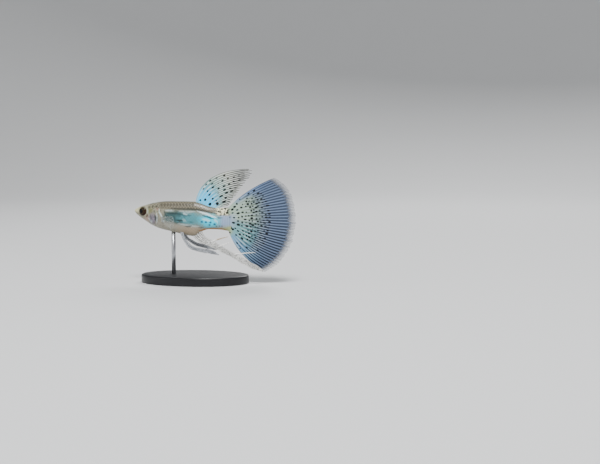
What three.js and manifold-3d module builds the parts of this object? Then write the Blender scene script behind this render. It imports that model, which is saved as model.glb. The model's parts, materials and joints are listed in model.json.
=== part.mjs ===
// A life-size still model of a male fancy guppy, of the ribbon-finned, blue grass kind, on a display stand.
// Millimetres, +Z up. The fish swims towards -X and shows its left side to -Y.
// The origin is the middle of the base's underside.
import * as THREE from "three";
import { mergeVertices } from "three/addons/utils/BufferGeometryUtils.js";
import Module from "manifold-3d";

const wasm = await Module();
wasm.setup();

// Driving sizes. The fish's own frame starts at the snout's tip, with +X towards the tail.
const BODY_LENGTH = 28.3; // snout to the root of the tail fin
const GAP = 0.3; // air kept between neighbouring pieces
const MEMBRANE = 0.5; // thickness of a fin between its rays
const FIN_ROOT = 0.72; // thickness of a fin where it leaves the body
const RAY_RISE = 0.2; // how much a ray adds to the membrane, both faces together
const TIP_SHARE = 0.5; // share of the thickness left at a fin's margin

// The body at named places along it: heights of back, belly and widest level, half the width there,
// and how square the section is above (crown) and below (keel). 2 is an ellipse, more is boxier.
const STATIONS = [
  { place: "snout", along: 0, back: 0.35, belly: -0.85, level: -0.1, half: 0.9, crown: 2.4, keel: 2.0 },
  { place: "nostril", along: 1.5, back: 0.95, belly: -1.95, level: -0.3, half: 1.5, crown: 2.8, keel: 2.0 },
  { place: "eye", along: 3.0, back: 1.5, belly: -2.95, level: -0.5, half: 1.95, crown: 3.0, keel: 2.0 },
  { place: "cheek", along: 5.2, back: 2.08, belly: -4.3, level: -0.8, half: 2.25, crown: 2.6, keel: 2.0 },
  { place: "gill", along: 7.5, back: 2.5, belly: -5.25, level: -1.1, half: 2.42, crown: 2.3, keel: 2.1 },
  { place: "shoulder", along: 10.5, back: 2.72, belly: -5.95, level: -1.3, half: 2.45, crown: 2.1, keel: 2.1 },
  { place: "pelvic", along: 14.0, back: 2.72, belly: -6.75, level: -1.5, half: 2.3, crown: 2.0, keel: 1.85 },
  { place: "vent", along: 17.8, back: 2.66, belly: -7.4, level: -1.7, half: 1.95, crown: 2.0, keel: 1.5 },
  { place: "anal", along: 19.8, back: 2.2, belly: -6.1, level: -1.8, half: 1.75, crown: 2.0, keel: 1.6 },
  { place: "loin", along: 22.5, back: 1.3, belly: -5.3, level: -2.0, half: 1.5, crown: 1.9, keel: 1.9 },
  { place: "stalk", along: 25.5, back: 0.82, belly: -5.35, level: -2.2, half: 1.22, crown: 1.9, keel: 2.0 },
  { place: "tail", along: BODY_LENGTH, back: 1.0, belly: -5.75, level: -2.35, half: 0.85, crown: 2, keel: 2 },
];
const NOSE_ROUND = 1.0; // length over which the snout rounds off
const AROUND = 28; // faces round the body

// Where the body is parted. The front seam follows the edge of the gill cover.
const GILL_SEAM = 6.5;
const GILL_BULGE = 1.1; // how far the gill cover's edge reaches back at mid height
const GILL_SWEEP = 1.2; // how far it runs forward under the throat
const GILL_REACH = 2.6; // length over which the rings straighten again
const STALK_SEAM = 21.6;

// Eye, mouth and nostrils
const EYE = { along: 2.95, up: -0.25, aside: 1.5, radius: 1.3, depth: 0.84, turnedForward: 0.24 };
const EYE_GAP = 0.26;
const MOUTH = { tipAlong: 0.06, tipUp: 0.16, cornerAlong: 1.0, cornerUp: -0.8, halfWidth: 1.12 };
const MOUTH_SLIT = 0.16;
const LIP_RADIUS = 0.2;
const NOSTRIL = { along: 1.5, aside: 0.72, radius: 0.2 };

// Fins
const DORSAL = { front: 18.4, back: 24.5, rays: 8, rows: 12, sway: -0.7 };
const CAUDAL = {
  rootTop: 0.9,
  rootBottom: -5.6,
  hubAlong: 28.9,
  hubUp: -1.9,
  radius: 19.3,
  topAngle: 42.5,
  bottomAngle: -58,
  rays: 15,
  rows: 13,
  bulgeTop: 1.8,
  bulgeBottom: 3.2,
  sway: 0.8,
};
const ANAL = { front: 17.4, back: 20.3, rays: 4, rows: 22 };
const PELVIC = { front: 13.9, back: 14.9, aside: 0.75, rays: 3, rows: 18 };
const PECTORAL = { along: 8.8, up: -2.4, rootWidth: 1.3, length: 5, rays: 5, rows: 6, outward: 22, droop: 14 };
const UNFORKED = 0.29; // how far out the rays of a fan are still single, as those of a ribbon are all the way

// Stand
const BASE = { length: 32, width: 20, thick: 2.5, bevel: 0.5, underAlong: 18 };
const ROD = { along: 11.6, radius: 0.6, socketDepth: 1.4, sides: 20 };
const FIN_CLEARANCE = 0.9; // air between the lowest fin tip and the base
const LOWEST_FIN = 17.6; // depth of the tail fin's lower tip under the snout
const SNOUT_HEIGHT = BASE.thick + FIN_CLEARANCE + LOWEST_FIN;

// A curve through the stations that keeps between its neighbours, for one of their values.
function station(field, along) {
  const last = STATIONS.length - 1;
  const slope = (i) => {
    const rise = STATIONS[i + 1][field] - STATIONS[i][field];
    return rise / (STATIONS[i + 1].along - STATIONS[i].along);
  };
  const tangent = (i) => {
    if (i === 0) return slope(0);
    if (i === last) return slope(last - 1);
    const before = slope(i - 1);
    const after = slope(i);
    return before * after <= 0 ? 0 : (2 * before * after) / (before + after);
  };
  const x = Math.min(Math.max(along, 0), STATIONS[last].along);
  let i = 0;
  while (i < last - 1 && x > STATIONS[i + 1].along) i += 1;
  const span = STATIONS[i + 1].along - STATIONS[i].along;
  const t = (x - STATIONS[i].along) / span;
  const from = STATIONS[i][field];
  const to = STATIONS[i + 1][field];
  const rise = 3 * t * t - 2 * t * t * t;
  const lead = t * (1 - t) * (1 - t) * span * tangent(i);
  const trail = -t * t * (1 - t) * span * tangent(i + 1);
  return from + (to - from) * rise + lead + trail;
}

// How far a superellipse section reaches at a share of its half width.
function sectionReach(share, squareness) {
  return Math.max(0, 1 - Math.min(1, Math.abs(share)) ** squareness) ** (1 / squareness);
}

function backAt(along, aside) {
  const level = station("level", along);
  const reach = sectionReach(aside / station("half", along), station("crown", along));
  return level + (station("back", along) - level) * reach;
}

function bellyAt(along, aside) {
  const level = station("level", along);
  const reach = sectionReach(aside / station("half", along), station("keel", along));
  return level - (level - station("belly", along)) * reach;
}

function flankAt(along, up) {
  const level = station("level", along);
  const above = up > level;
  const height = above ? station("back", along) - level : level - station("belly", along);
  const squareness = station(above ? "crown" : "keel", along);
  return station("half", along) * sectionReach((up - level) / height, squareness);
}

// A point of the skin. The rings bend round the gill seam, and the section is read where the point ends up.
function skinPoint(ring, turn) {
  const side = Math.cos(turn);
  const rise = Math.sin(turn);
  const pull = Math.exp(-(((ring - GILL_SEAM) / GILL_REACH) ** 2));
  const x = ring + pull * (GILL_BULGE * side * side - GILL_SWEEP * Math.max(0, -rise) ** 2);
  const blunt = x < NOSE_ROUND ? Math.sqrt(1 - (1 - x / NOSE_ROUND) ** 2) : 1;
  const level = station("level", x);
  const power = 2 / station(rise > 0 ? "crown" : "keel", x);
  const height = rise > 0 ? station("back", x) - level : level - station("belly", x);
  const y = station("half", x) * Math.sign(side) * Math.abs(side) ** power * blunt;
  return new THREE.Vector3(x, y, level + height * Math.sign(rise) * Math.abs(rise) ** power * blunt);
}

const smooth = (low, high, value) => THREE.MathUtils.smoothstep(value, low, high);
const mix = THREE.MathUtils.lerp;

// A repeatable number from -1 to 1 for each whole number, so that like pieces vary as real ones do.
function vary(seed) {
  const wave = Math.sin(seed * 127.1 + 311.7) * 43758.5453;
  return 2 * (wave - Math.floor(wave)) - 1;
}

// Geometry from a list of points and triangles, turned to face outwards.
function closedGeometry(points, triangles) {
  let volume = 0;
  for (const [a, b, c] of triangles) {
    volume += points[a].dot(points[b].clone().cross(points[c]));
  }
  const facing = volume < 0 ? triangles.map(([a, b, c]) => [a, c, b]) : triangles;
  const geometry = new THREE.BufferGeometry();
  geometry.setAttribute("position", new THREE.Float32BufferAttribute(points.flatMap((p) => p.toArray()), 3));
  geometry.setIndex(facing.flat());
  geometry.computeVertexNormals();
  return geometry;
}

// A closed body through rings of points, with a fan round a centre at each end.
function loftGeometry(rings, around, pointAt, startCentre, endCentre) {
  const points = [];
  const triangles = [];
  for (const ring of rings) {
    for (let k = 0; k < around; k += 1) {
      points.push(pointAt(ring, (2 * Math.PI * k) / around));
    }
  }
  const at = (i, k) => i * around + (k % around);
  for (let i = 0; i + 1 < rings.length; i += 1) {
    for (let k = 0; k < around; k += 1) {
      triangles.push([at(i, k), at(i + 1, k), at(i + 1, k + 1)]);
      triangles.push([at(i, k), at(i + 1, k + 1), at(i, k + 1)]);
    }
  }
  const start = points.push(startCentre) - 1;
  const end = points.push(endCentre) - 1;
  for (let k = 0; k < around; k += 1) {
    triangles.push([start, at(0, k), at(0, k + 1)]);
    triangles.push([end, at(rings.length - 1, k + 1), at(rings.length - 1, k)]);
  }
  return closedGeometry(points, triangles);
}

// A thin closed sheet: s runs across it and r from root to margin. Both faces are split alike.
function bladeGeometry(columns, rows, middleAt, normalAt, thicknessAt) {
  const points = [];
  const triangles = [];
  for (const face of [0.5, -0.5]) {
    for (let j = 0; j <= rows; j += 1) {
      for (let i = 0; i <= columns; i += 1) {
        const s = i / columns;
        const r = j / rows;
        points.push(middleAt(s, r).addScaledVector(normalAt(s, r), face * thicknessAt(s, r)));
      }
    }
  }
  const faceSize = (rows + 1) * (columns + 1);
  const at = (face, i, j) => face * faceSize + j * (columns + 1) + i;
  for (let j = 0; j < rows; j += 1) {
    for (let i = 0; i < columns; i += 1) {
      triangles.push([at(0, i, j), at(0, i + 1, j), at(0, i + 1, j + 1)]);
      triangles.push([at(0, i, j), at(0, i + 1, j + 1), at(0, i, j + 1)]);
      triangles.push([at(1, i, j), at(1, i + 1, j + 1), at(1, i + 1, j)]);
      triangles.push([at(1, i, j), at(1, i, j + 1), at(1, i + 1, j + 1)]);
    }
  }
  const rim = [];
  for (let i = 0; i < columns; i += 1) rim.push([i, 0, i + 1, 0]);
  for (let j = 0; j < rows; j += 1) rim.push([columns, j, columns, j + 1]);
  for (let i = columns; i > 0; i -= 1) rim.push([i, rows, i - 1, rows]);
  for (let j = rows; j > 0; j -= 1) rim.push([0, j, 0, j - 1]);
  for (const [i0, j0, i1, j1] of rim) {
    triangles.push([at(0, i1, j1), at(0, i0, j0), at(1, i0, j0)]);
    triangles.push([at(0, i1, j1), at(1, i0, j0), at(1, i1, j1)]);
  }
  return closedGeometry(points, triangles);
}

// Closed solids for joining and cutting
function solidOf(geometry, matrix = new THREE.Matrix4()) {
  const bare = geometry.clone().applyMatrix4(matrix);
  for (const name of ["normal", "uv"]) bare.deleteAttribute(name);
  const merged = mergeVertices(bare, 1e-4);
  const vertProperties = merged.attributes.position.array;
  const triVerts = new Uint32Array(merged.index.array);
  return new wasm.Manifold(new wasm.Mesh({ numProp: 3, vertProperties, triVerts }));
}

function largestOf(solid) {
  return solid.decompose().sort((a, b) => b.volume() - a.volume())[0];
}

function geometryOf(solid) {
  const mesh = largestOf(solid).getMesh();
  const points = [];
  for (let i = 0; i < mesh.vertProperties.length; i += mesh.numProp) {
    points.push(new THREE.Vector3().fromArray(mesh.vertProperties, i));
  }
  const triangles = [];
  for (let i = 0; i < mesh.triVerts.length; i += 3) {
    triangles.push([...mesh.triVerts.slice(i, i + 3)]);
  }
  return closedGeometry(points, triangles);
}

// Rays: one ridge each near the root, which forks into two on the way to the margin.
function rayRidge(s, r, rays) {
  const single = 0.5 - 0.5 * Math.cos(2 * Math.PI * rays * s);
  const forked = 0.5 - 0.5 * Math.cos(4 * Math.PI * rays * s);
  return mix(single, forked, smooth(0.3, 0.55, r));
}

function finThickness(s, r, rays) {
  const plain = mix(FIN_ROOT, MEMBRANE, smooth(0, 0.15, r));
  const raised = plain + RAY_RISE * (1 - 0.5 * r) * rayRidge(s, r, rays);
  return raised * mix(1, TIP_SHARE, smooth(0.8, 1, r));
}

// A point on the bent line from a root over a guide point to a tip.
function bend(root, guide, tip, r) {
  const from = root.clone().multiplyScalar((1 - r) * (1 - r));
  return from.addScaledVector(guide, 2 * r * (1 - r)).addScaledVector(tip, r * r);
}

const sideways = new THREE.Vector3(0, 1, 0);

// Body
const headRings = [];
for (let i = 1; i <= 15; i += 1) headRings.push(GILL_SEAM * (i / 15) ** 1.7);
const torsoRings = [];
for (let i = 0; i <= 16; i += 1) torsoRings.push(mix(GILL_SEAM + GAP, STALK_SEAM, i / 16));
const stalkRings = [];
for (let i = 0; i <= 7; i += 1) stalkRings.push(mix(STALK_SEAM + GAP, BODY_LENGTH, i / 7));

function bodyPiece(rings, startCentre) {
  const last = rings[rings.length - 1];
  const first = rings[0];
  const middle = (ring) => new THREE.Vector3(skinPoint(ring, 0).x, 0, station("level", ring));
  return loftGeometry(rings, AROUND, skinPoint, startCentre ?? middle(first), middle(last));
}

function eyeMatrix(side, grow) {
  const place = new THREE.Vector3(EYE.along, side * EYE.aside, EYE.up);
  const turn = new THREE.Quaternion().setFromAxisAngle(new THREE.Vector3(0, 0, 1), side * EYE.turnedForward);
  const size = new THREE.Vector3(EYE.radius + grow, EYE.depth + grow, EYE.radius + grow);
  return new THREE.Matrix4().compose(place, turn, size);
}

// Both lips follow the edge of the upturned mouth from corner to corner.
function lipGeometry(away) {
  const steps = 14;
  const slope = new THREE.Vector3(MOUTH.cornerUp - MOUTH.tipUp, 0, MOUTH.tipAlong - MOUTH.cornerAlong);
  slope.normalize();
  const line = [];
  for (let i = 0; i <= steps; i += 1) {
    const angle = mix(-1.35, 1.35, i / steps);
    const depth = 1 - Math.cos(angle);
    const x = mix(MOUTH.tipAlong, MOUTH.cornerAlong, depth);
    const z = mix(MOUTH.tipUp, MOUTH.cornerUp, depth);
    line.push(new THREE.Vector3(x, MOUTH.halfWidth * Math.sin(angle), z).addScaledVector(slope, away));
  }
  const path = new THREE.CatmullRomCurve3(line);
  const ringAt = (t, turn) => {
    const centre = path.getPoint(t);
    const ahead = path.getTangent(t);
    const outward = new THREE.Vector3().crossVectors(ahead, slope).normalize();
    const radius = LIP_RADIUS * mix(0.35, 1, Math.sin(Math.PI * t));
    const point = centre.addScaledVector(slope, radius * Math.cos(turn));
    return point.addScaledVector(outward, radius * Math.sin(turn));
  };
  const rings = [];
  for (let i = 0; i <= steps; i += 1) rings.push(i / steps);
  return loftGeometry(rings, 8, ringAt, path.getPoint(0), path.getPoint(1));
}

function headGeometry() {
  let head = solidOf(bodyPiece(headRings, new THREE.Vector3(0, 0, station("level", 0))));
  for (const away of [-LIP_RADIUS, LIP_RADIUS]) head = head.add(solidOf(lipGeometry(away * 0.9)));
  const along = MOUTH.cornerAlong - MOUTH.tipAlong;
  const down = MOUTH.tipUp - MOUTH.cornerUp;
  const reach = Math.hypot(along, down);
  const slit = new THREE.BoxGeometry(2 * reach, 4 * MOUTH.halfWidth, MOUTH_SLIT);
  const lie = new THREE.Matrix4().makeRotationY(Math.atan2(down, along));
  lie.setPosition(MOUTH.tipAlong, 0, MOUTH.tipUp);
  const slitDepth = new THREE.CylinderGeometry(MOUTH.halfWidth * 1.25, MOUTH.halfWidth * 1.25, 6, 24);
  slitDepth.scale(reach / MOUTH.halfWidth / 1.25, 1, 1);
  const around = new THREE.Matrix4().makeRotationX(Math.PI / 2);
  around.setPosition(MOUTH.cornerAlong + 0.75, 0, MOUTH.cornerUp);
  head = head.subtract(solidOf(slit, lie).subtract(solidOf(slitDepth, around)));
  const dimple = new THREE.SphereGeometry(NOSTRIL.radius, 10, 8);
  const socket = new THREE.SphereGeometry(1, 24, 14);
  for (const side of [-1, 1]) {
    const up = backAt(NOSTRIL.along, NOSTRIL.aside);
    const place = new THREE.Vector3(NOSTRIL.along, side * NOSTRIL.aside, up);
    head = head.subtract(solidOf(dimple, new THREE.Matrix4().setPosition(place)));
    head = head.subtract(solidOf(socket, eyeMatrix(side, EYE_GAP)));
  }
  return geometryOf(head);
}

// Dorsal fin: its rays rise from the back, bend backwards and end on a ragged rear edge.
const dorsalEdge = new THREE.CatmullRomCurve3([
  new THREE.Vector3(34.3, 0, 12.2),
  new THREE.Vector3(35.0, 0, 10.8),
  new THREE.Vector3(33.2, 0, 8.4),
  new THREE.Vector3(31.6, 0, 5.9),
  new THREE.Vector3(29.9, 0, 4.0),
  new THREE.Vector3(28.3, 0, 1.55),
]);

function dorsalMiddle(s, r) {
  const rootAlong = mix(DORSAL.front, DORSAL.back, s);
  const root = new THREE.Vector3(rootAlong, 0, backAt(rootAlong, 0) + GAP);
  const guide = new THREE.Vector3(mix(19.9, 26.5, s ** 0.85), 0, mix(11.8, 1.4, s ** 0.85));
  const tip = dorsalEdge.getPoint(s);
  const ragged = 1 - 0.05 * (1 - rayRidge(s, 1, DORSAL.rays)) * smooth(0.02, 0.1, s);
  const reach = r * (ragged + 0.02 * vary(Math.round(s * DORSAL.rays * 2)) * smooth(0.02, 0.1, s));
  const point = bend(root, guide, tip, reach);
  point.y = DORSAL.sway * r * r * (0.3 + 0.7 * s);
  return point;
}

// Tail fin: a fan of rays round a hub, with rounded upper and lower corners.
function caudalMiddle(s, r) {
  const root = new THREE.Vector3(BODY_LENGTH + GAP, 0, mix(CAUDAL.rootTop, CAUDAL.rootBottom, s));
  const angle = THREE.MathUtils.degToRad(mix(CAUDAL.topAngle, CAUDAL.bottomAngle, s));
  const corners = 1 - 0.12 * (1 - s) ** 9 - 0.05 * s ** 9;
  const notch = 0.03 * (1 - rayRidge(s, 1, CAUDAL.rays)) - 0.012 * vary(Math.round(s * CAUDAL.rays * 2) + 40);
  const inner = Math.sin((Math.PI / 2) * Math.min(1, s * 12, (1 - s) * 12));
  const radius = CAUDAL.radius * corners * (1 - notch * inner);
  const tip = new THREE.Vector3(CAUDAL.hubAlong, 0, CAUDAL.hubUp);
  tip.add(new THREE.Vector3(radius * Math.cos(angle), 0, radius * Math.sin(angle)));
  const chord = tip.clone().sub(root);
  const across = new THREE.Vector3(-chord.z, 0, chord.x).normalize();
  const bulge = mix(CAUDAL.bulgeTop, -CAUDAL.bulgeBottom, s);
  const guide = root.clone().addScaledVector(chord, 0.45).addScaledVector(across, bulge);
  const point = bend(root, guide, tip, r);
  point.y = CAUDAL.sway * r * r * Math.sin(2 * Math.PI * (0.9 * s + 0.35));
  return point;
}

// A trailing ribbon: it leaves the belly along a root line and narrows to a point along its path.
function ribbonMiddle(path, widthAt, rootAt, s, r) {
  const centre = path.getPoint(r);
  const ahead = path.getTangent(r);
  const across = new THREE.Vector3(-ahead.z, 0, ahead.x).normalize();
  const streaming = centre.addScaledVector(across, (s - 0.5) * widthAt(r));
  return rootAt(s).lerp(streaming, smooth(0, 0.16, r));
}

const analPath = new THREE.CatmullRomCurve3([
  new THREE.Vector3(18.7, 0, -7.7),
  new THREE.Vector3(21.6, -0.1, -8.9),
  new THREE.Vector3(25.5, -0.5, -10.7),
  new THREE.Vector3(30.6, -1.2, -13.1),
  new THREE.Vector3(35.0, -1.8, -15.3),
  new THREE.Vector3(38.9, -2.1, -17.0),
]);
const analWidth = (r) => mix(2.5, 1.5, smooth(0, 0.45, r)) * mix(1, 0.3, smooth(0.86, 1, r));
function analRoot(s) {
  const along = mix(ANAL.front, ANAL.back, s);
  return new THREE.Vector3(along, 0, bellyAt(along, 0) - GAP);
}

// Free rays that leave the upper edge of the anal ribbon: start, middle and end of each.
const ANAL_FILAMENTS = [
  { from: [22.6, -0.15, -9.2], over: [25.6, -0.7, -7.9], to: [28.4, -1.1, -7.35], radius: 0.34 },
  { from: [25.0, -0.45, -10.4], over: [27.4, -0.9, -9.6], to: [29.4, -1.3, -8.8], radius: 0.3 },
  { from: [29.6, -1.1, -12.5], over: [33.0, -1.6, -11.9], to: [36.6, -1.9, -11.7], radius: 0.28 },
];

function filamentGeometry({ from, over, to, radius }) {
  const path = new THREE.QuadraticBezierCurve3(...[from, over, to].map((p) => new THREE.Vector3(...p)));
  const ringAt = (t, turn) => {
    const ahead = path.getTangent(t);
    const lifted = new THREE.Vector3().crossVectors(sideways, ahead).normalize();
    const reach = radius * mix(1, 0.45, t);
    const point = path.getPoint(t).addScaledVector(lifted, reach * Math.cos(turn));
    return point.addScaledVector(sideways, reach * Math.sin(turn));
  };
  const rings = [0, 0.15, 0.3, 0.45, 0.6, 0.75, 0.9, 1];
  return loftGeometry(rings, 6, ringAt, path.getPoint(0), path.getPoint(1));
}

function analGeometry() {
  const thickness = (s, r) => {
    return finThickness(s, Math.min(r, UNFORKED), ANAL.rays) * mix(1, TIP_SHARE, smooth(0.9, 1, r));
  };
  const middle = (s, r) => ribbonMiddle(analPath, analWidth, analRoot, s, r);
  let fin = solidOf(bladeGeometry(ANAL.rays * 2, ANAL.rows, middle, () => sideways, thickness));
  for (const filament of ANAL_FILAMENTS) fin = fin.add(solidOf(filamentGeometry(filament)));
  return geometryOf(fin);
}

// Pelvic fins: the near one streams lower and longer than the far one.
const pelvicWidth = (r) => mix(0.8, 1.15, smooth(0.1, 0.7, r)) * mix(1, 0.25, smooth(0.84, 1, r));
const PELVIC_PATHS = {
  left: [
    [14.5, 0.8, -7.2],
    [15.7, 1.3, -8.9],
    [17.3, 1.9, -10.4],
    [20.0, 2.3, -11.2],
    [23.2, 2.5, -11.6],
    [26.0, 2.6, -12.5],
  ],
  right: [
    [14.5, 0.8, -7.2],
    [15.9, 1.3, -8.6],
    [17.8, 1.8, -9.8],
    [20.2, 2.2, -10.5],
    [22.6, 2.5, -10.9],
    [24.6, 2.7, -11.6],
  ],
};

function pelvicGeometry(name, side) {
  const places = PELVIC_PATHS[name].map(([x, y, z]) => new THREE.Vector3(x, side * y, z));
  const path = new THREE.CatmullRomCurve3(places);
  const root = (s) => {
    const along = mix(PELVIC.front, PELVIC.back, s);
    return new THREE.Vector3(along, side * PELVIC.aside, bellyAt(along, PELVIC.aside) - GAP - 0.06);
  };
  const thickness = (s, r) => {
    return finThickness(s, Math.min(r, UNFORKED), PELVIC.rays) * mix(1, TIP_SHARE, smooth(0.85, 1, r));
  };
  const middle = (s, r) => ribbonMiddle(path, pelvicWidth, root, s, r);
  return bladeGeometry(PELVIC.rays * 2, PELVIC.rows, middle, () => sideways, thickness);
}

// Pectoral fins: small fans that stand a little off the flank.
function pectoralGeometry(side) {
  const outward = THREE.MathUtils.degToRad(PECTORAL.outward);
  const normal = new THREE.Vector3(-Math.sin(outward), side * Math.cos(outward), 0);
  const rootAside = flankAt(PECTORAL.along, PECTORAL.up) + GAP + FIN_ROOT / 2 + RAY_RISE / 2;
  const middle = (s, r) => {
    const spread = THREE.MathUtils.degToRad(mix(20, -20, s) - PECTORAL.droop);
    const scallop = 1 - 0.04 * (1 - rayRidge(s, 1, PECTORAL.rays));
    const reach = r * PECTORAL.length * scallop * (1 - 0.18 * (2 * s - 1) ** 2);
    const back = reach * Math.cos(spread);
    const up = PECTORAL.up + mix(0.5, -0.5, s) * PECTORAL.rootWidth + reach * Math.sin(spread);
    const x = PECTORAL.along + back * Math.cos(outward);
    return new THREE.Vector3(x, side * (rootAside + back * Math.sin(outward)), up);
  };
  const thickness = (s, r) => finThickness(s, r, PECTORAL.rays);
  return bladeGeometry(PECTORAL.rays * 4, PECTORAL.rows, middle, () => normal, thickness);
}

// Stand: an oval plate with a socket, and one rod whose top follows the belly.
const BASE_TOP = BASE.thick;
const rodAlong = ROD.along - BASE.underAlong;

function baseGeometry() {
  const outline = new THREE.Shape();
  outline.absellipse(0, 0, BASE.length / 2 - BASE.bevel, BASE.width / 2 - BASE.bevel, 0, 2 * Math.PI);
  const plate = new THREE.ExtrudeGeometry(outline, {
    depth: BASE.thick - 2 * BASE.bevel,
    bevelThickness: BASE.bevel,
    bevelSize: BASE.bevel,
    bevelSegments: 2,
    curveSegments: 24,
  });
  plate.translate(0, 0, BASE.bevel);
  const socketRadius = ROD.radius + GAP;
  const socket = new THREE.CylinderGeometry(socketRadius, socketRadius, 2 * ROD.socketDepth, ROD.sides);
  const upright = new THREE.Matrix4().makeRotationX(Math.PI / 2).setPosition(rodAlong, 0, BASE_TOP);
  return geometryOf(solidOf(plate).subtract(solidOf(socket, upright)));
}

function rodGeometry() {
  const foot = BASE_TOP - ROD.socketDepth + GAP;
  const rod = new THREE.CylinderGeometry(ROD.radius, ROD.radius, 1, ROD.sides);
  rod.rotateX(Math.PI / 2);
  const place = rod.attributes.position;
  for (let i = 0; i < place.count; i += 1) {
    const x = ROD.along + place.getX(i);
    const top = SNOUT_HEIGHT + bellyAt(x, place.getY(i)) - GAP;
    place.setZ(i, place.getZ(i) > 0 ? top : foot);
  }
  rod.translate(rodAlong, 0, 0);
  rod.computeVertexNormals();
  return rod;
}

// Finishes
function finish(colour, roughness, metalness = 0) {
  return new THREE.MeshStandardMaterial({ color: colour, roughness, metalness });
}
const skin = finish(0x9fb3a6, 0.35);
const blueFin = finish(0x8fb4c4, 0.4);
const paleFin = finish(0xc9d3d2, 0.4);
const clearFin = finish(0xb8c2c4, 0.35);
const eyeGlass = finish(0x1c1a17, 0.1);
const baseFinish = finish(0x2b2d30, 0.5);
const steel = finish(0xb9bcc0, 0.3, 1);

const model = new THREE.Group();
const fish = new THREE.Group();
fish.position.set(-BASE.underAlong, 0, SNOUT_HEIGHT);
model.add(fish);

function addNode(group, name, geometry, material) {
  const mesh = new THREE.Mesh(geometry, material);
  mesh.name = name;
  group.add(mesh);
  return mesh;
}

addNode(fish, "head", headGeometry(), skin);
addNode(fish, "torso", bodyPiece(torsoRings), skin);
addNode(fish, "tail_stalk", bodyPiece(stalkRings), skin);
for (const [name, side] of [["left", -1], ["right", 1]]) {
  const eye = addNode(fish, `eye_${name}`, new THREE.SphereGeometry(1, 20, 12), eyeGlass);
  eye.applyMatrix4(eyeMatrix(side, 0));
  addNode(fish, `pelvic_fin_${name}`, pelvicGeometry(name, side), paleFin);
  addNode(fish, `pectoral_fin_${name}`, pectoralGeometry(side), clearFin);
}
const dorsalThickness = (s, r) => finThickness(s, r, DORSAL.rays);
const dorsal = bladeGeometry(DORSAL.rays * 4, DORSAL.rows, dorsalMiddle, () => sideways, dorsalThickness);
addNode(fish, "dorsal_fin", dorsal, paleFin);
const caudalThickness = (s, r) => finThickness(s, r, CAUDAL.rays);
const caudal = bladeGeometry(CAUDAL.rays * 4, CAUDAL.rows, caudalMiddle, () => sideways, caudalThickness);
addNode(fish, "tail_fin", caudal, blueFin);
addNode(fish, "anal_fin", analGeometry(), paleFin);
addNode(model, "stand_base", baseGeometry(), baseFinish);
addNode(model, "stand_rod", rodGeometry(), steel);

export default model;
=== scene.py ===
# %% [markdown]
# # A fancy guppy on a display stand
# The model is a life-size male guppy: a slim body, a swept back fin, a fan tail with dark spots, and
# ribbon-like belly fins. It is held over an oval base by one rod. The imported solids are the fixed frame,
# and this lesson builds the finer surfaces in the same places and in metres.

# %% Load the fixed frame
import json
import math

import bmesh
import bpy
import numpy as np
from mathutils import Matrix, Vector

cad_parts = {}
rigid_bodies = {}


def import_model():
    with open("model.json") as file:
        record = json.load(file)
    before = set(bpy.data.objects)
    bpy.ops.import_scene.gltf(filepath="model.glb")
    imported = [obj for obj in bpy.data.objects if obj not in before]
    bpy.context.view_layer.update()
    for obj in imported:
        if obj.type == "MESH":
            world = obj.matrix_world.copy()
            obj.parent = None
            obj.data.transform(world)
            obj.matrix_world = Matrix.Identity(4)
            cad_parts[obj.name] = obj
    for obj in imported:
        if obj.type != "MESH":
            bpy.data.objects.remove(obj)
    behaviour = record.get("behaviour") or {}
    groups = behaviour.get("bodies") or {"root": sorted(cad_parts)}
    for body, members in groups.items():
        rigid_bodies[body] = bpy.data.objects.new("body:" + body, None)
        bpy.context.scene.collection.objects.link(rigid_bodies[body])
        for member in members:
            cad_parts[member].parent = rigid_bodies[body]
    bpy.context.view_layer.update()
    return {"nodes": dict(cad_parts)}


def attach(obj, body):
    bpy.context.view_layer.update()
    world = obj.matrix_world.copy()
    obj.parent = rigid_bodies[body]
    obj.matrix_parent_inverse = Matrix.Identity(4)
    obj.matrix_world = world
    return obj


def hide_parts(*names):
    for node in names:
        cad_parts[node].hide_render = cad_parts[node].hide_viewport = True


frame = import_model()
print("solid pieces:", len(frame["nodes"]))

# %% [markdown]
# ## Sizes
# All sizes below are in millimetres in the fish's own frame, which starts at the snout's tip and has +X
# towards the tail. One function moves points from there to the stand's frame in metres.

# %% Sizes shared with the solids
MM = 0.001
BODY_LENGTH = 28.3
UNDER_ALONG = 18.0  # the middle of the base lies under this place of the body
SNOUT_HEIGHT = 21.0
SIDES = (("left", -1), ("right", 1))


def in_metres(points):
    return (np.asarray(points, float) + (-UNDER_ALONG, 0.0, SNOUT_HEIGHT)) * MM


def smooth(low, high, value):
    share = np.clip((value - low) / (high - low), 0.0, 1.0)
    return share * share * (3.0 - 2.0 * share)


def between(value, rise, fall):
    """Climbs from 0 to 1 over the first range and comes down again over the second."""
    return smooth(*rise, value) * (1 - smooth(*fall, value))


def mix(start, end, share):
    return start + (end - start) * share


print("snout tip stands at", in_metres((0, 0, 0)))

# %% [markdown]
# ## Camera, floor and light
# The photograph shows the fish from its left and a little from behind, so the nose points away. The camera
# stands 300 mm away on that side, and it is aimed to the right of the fish, which puts the fish left of
# the middle of a picture of 600 by 464 as in the photograph. It isn't shifted, because a turn of the
# camera does the same.

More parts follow.
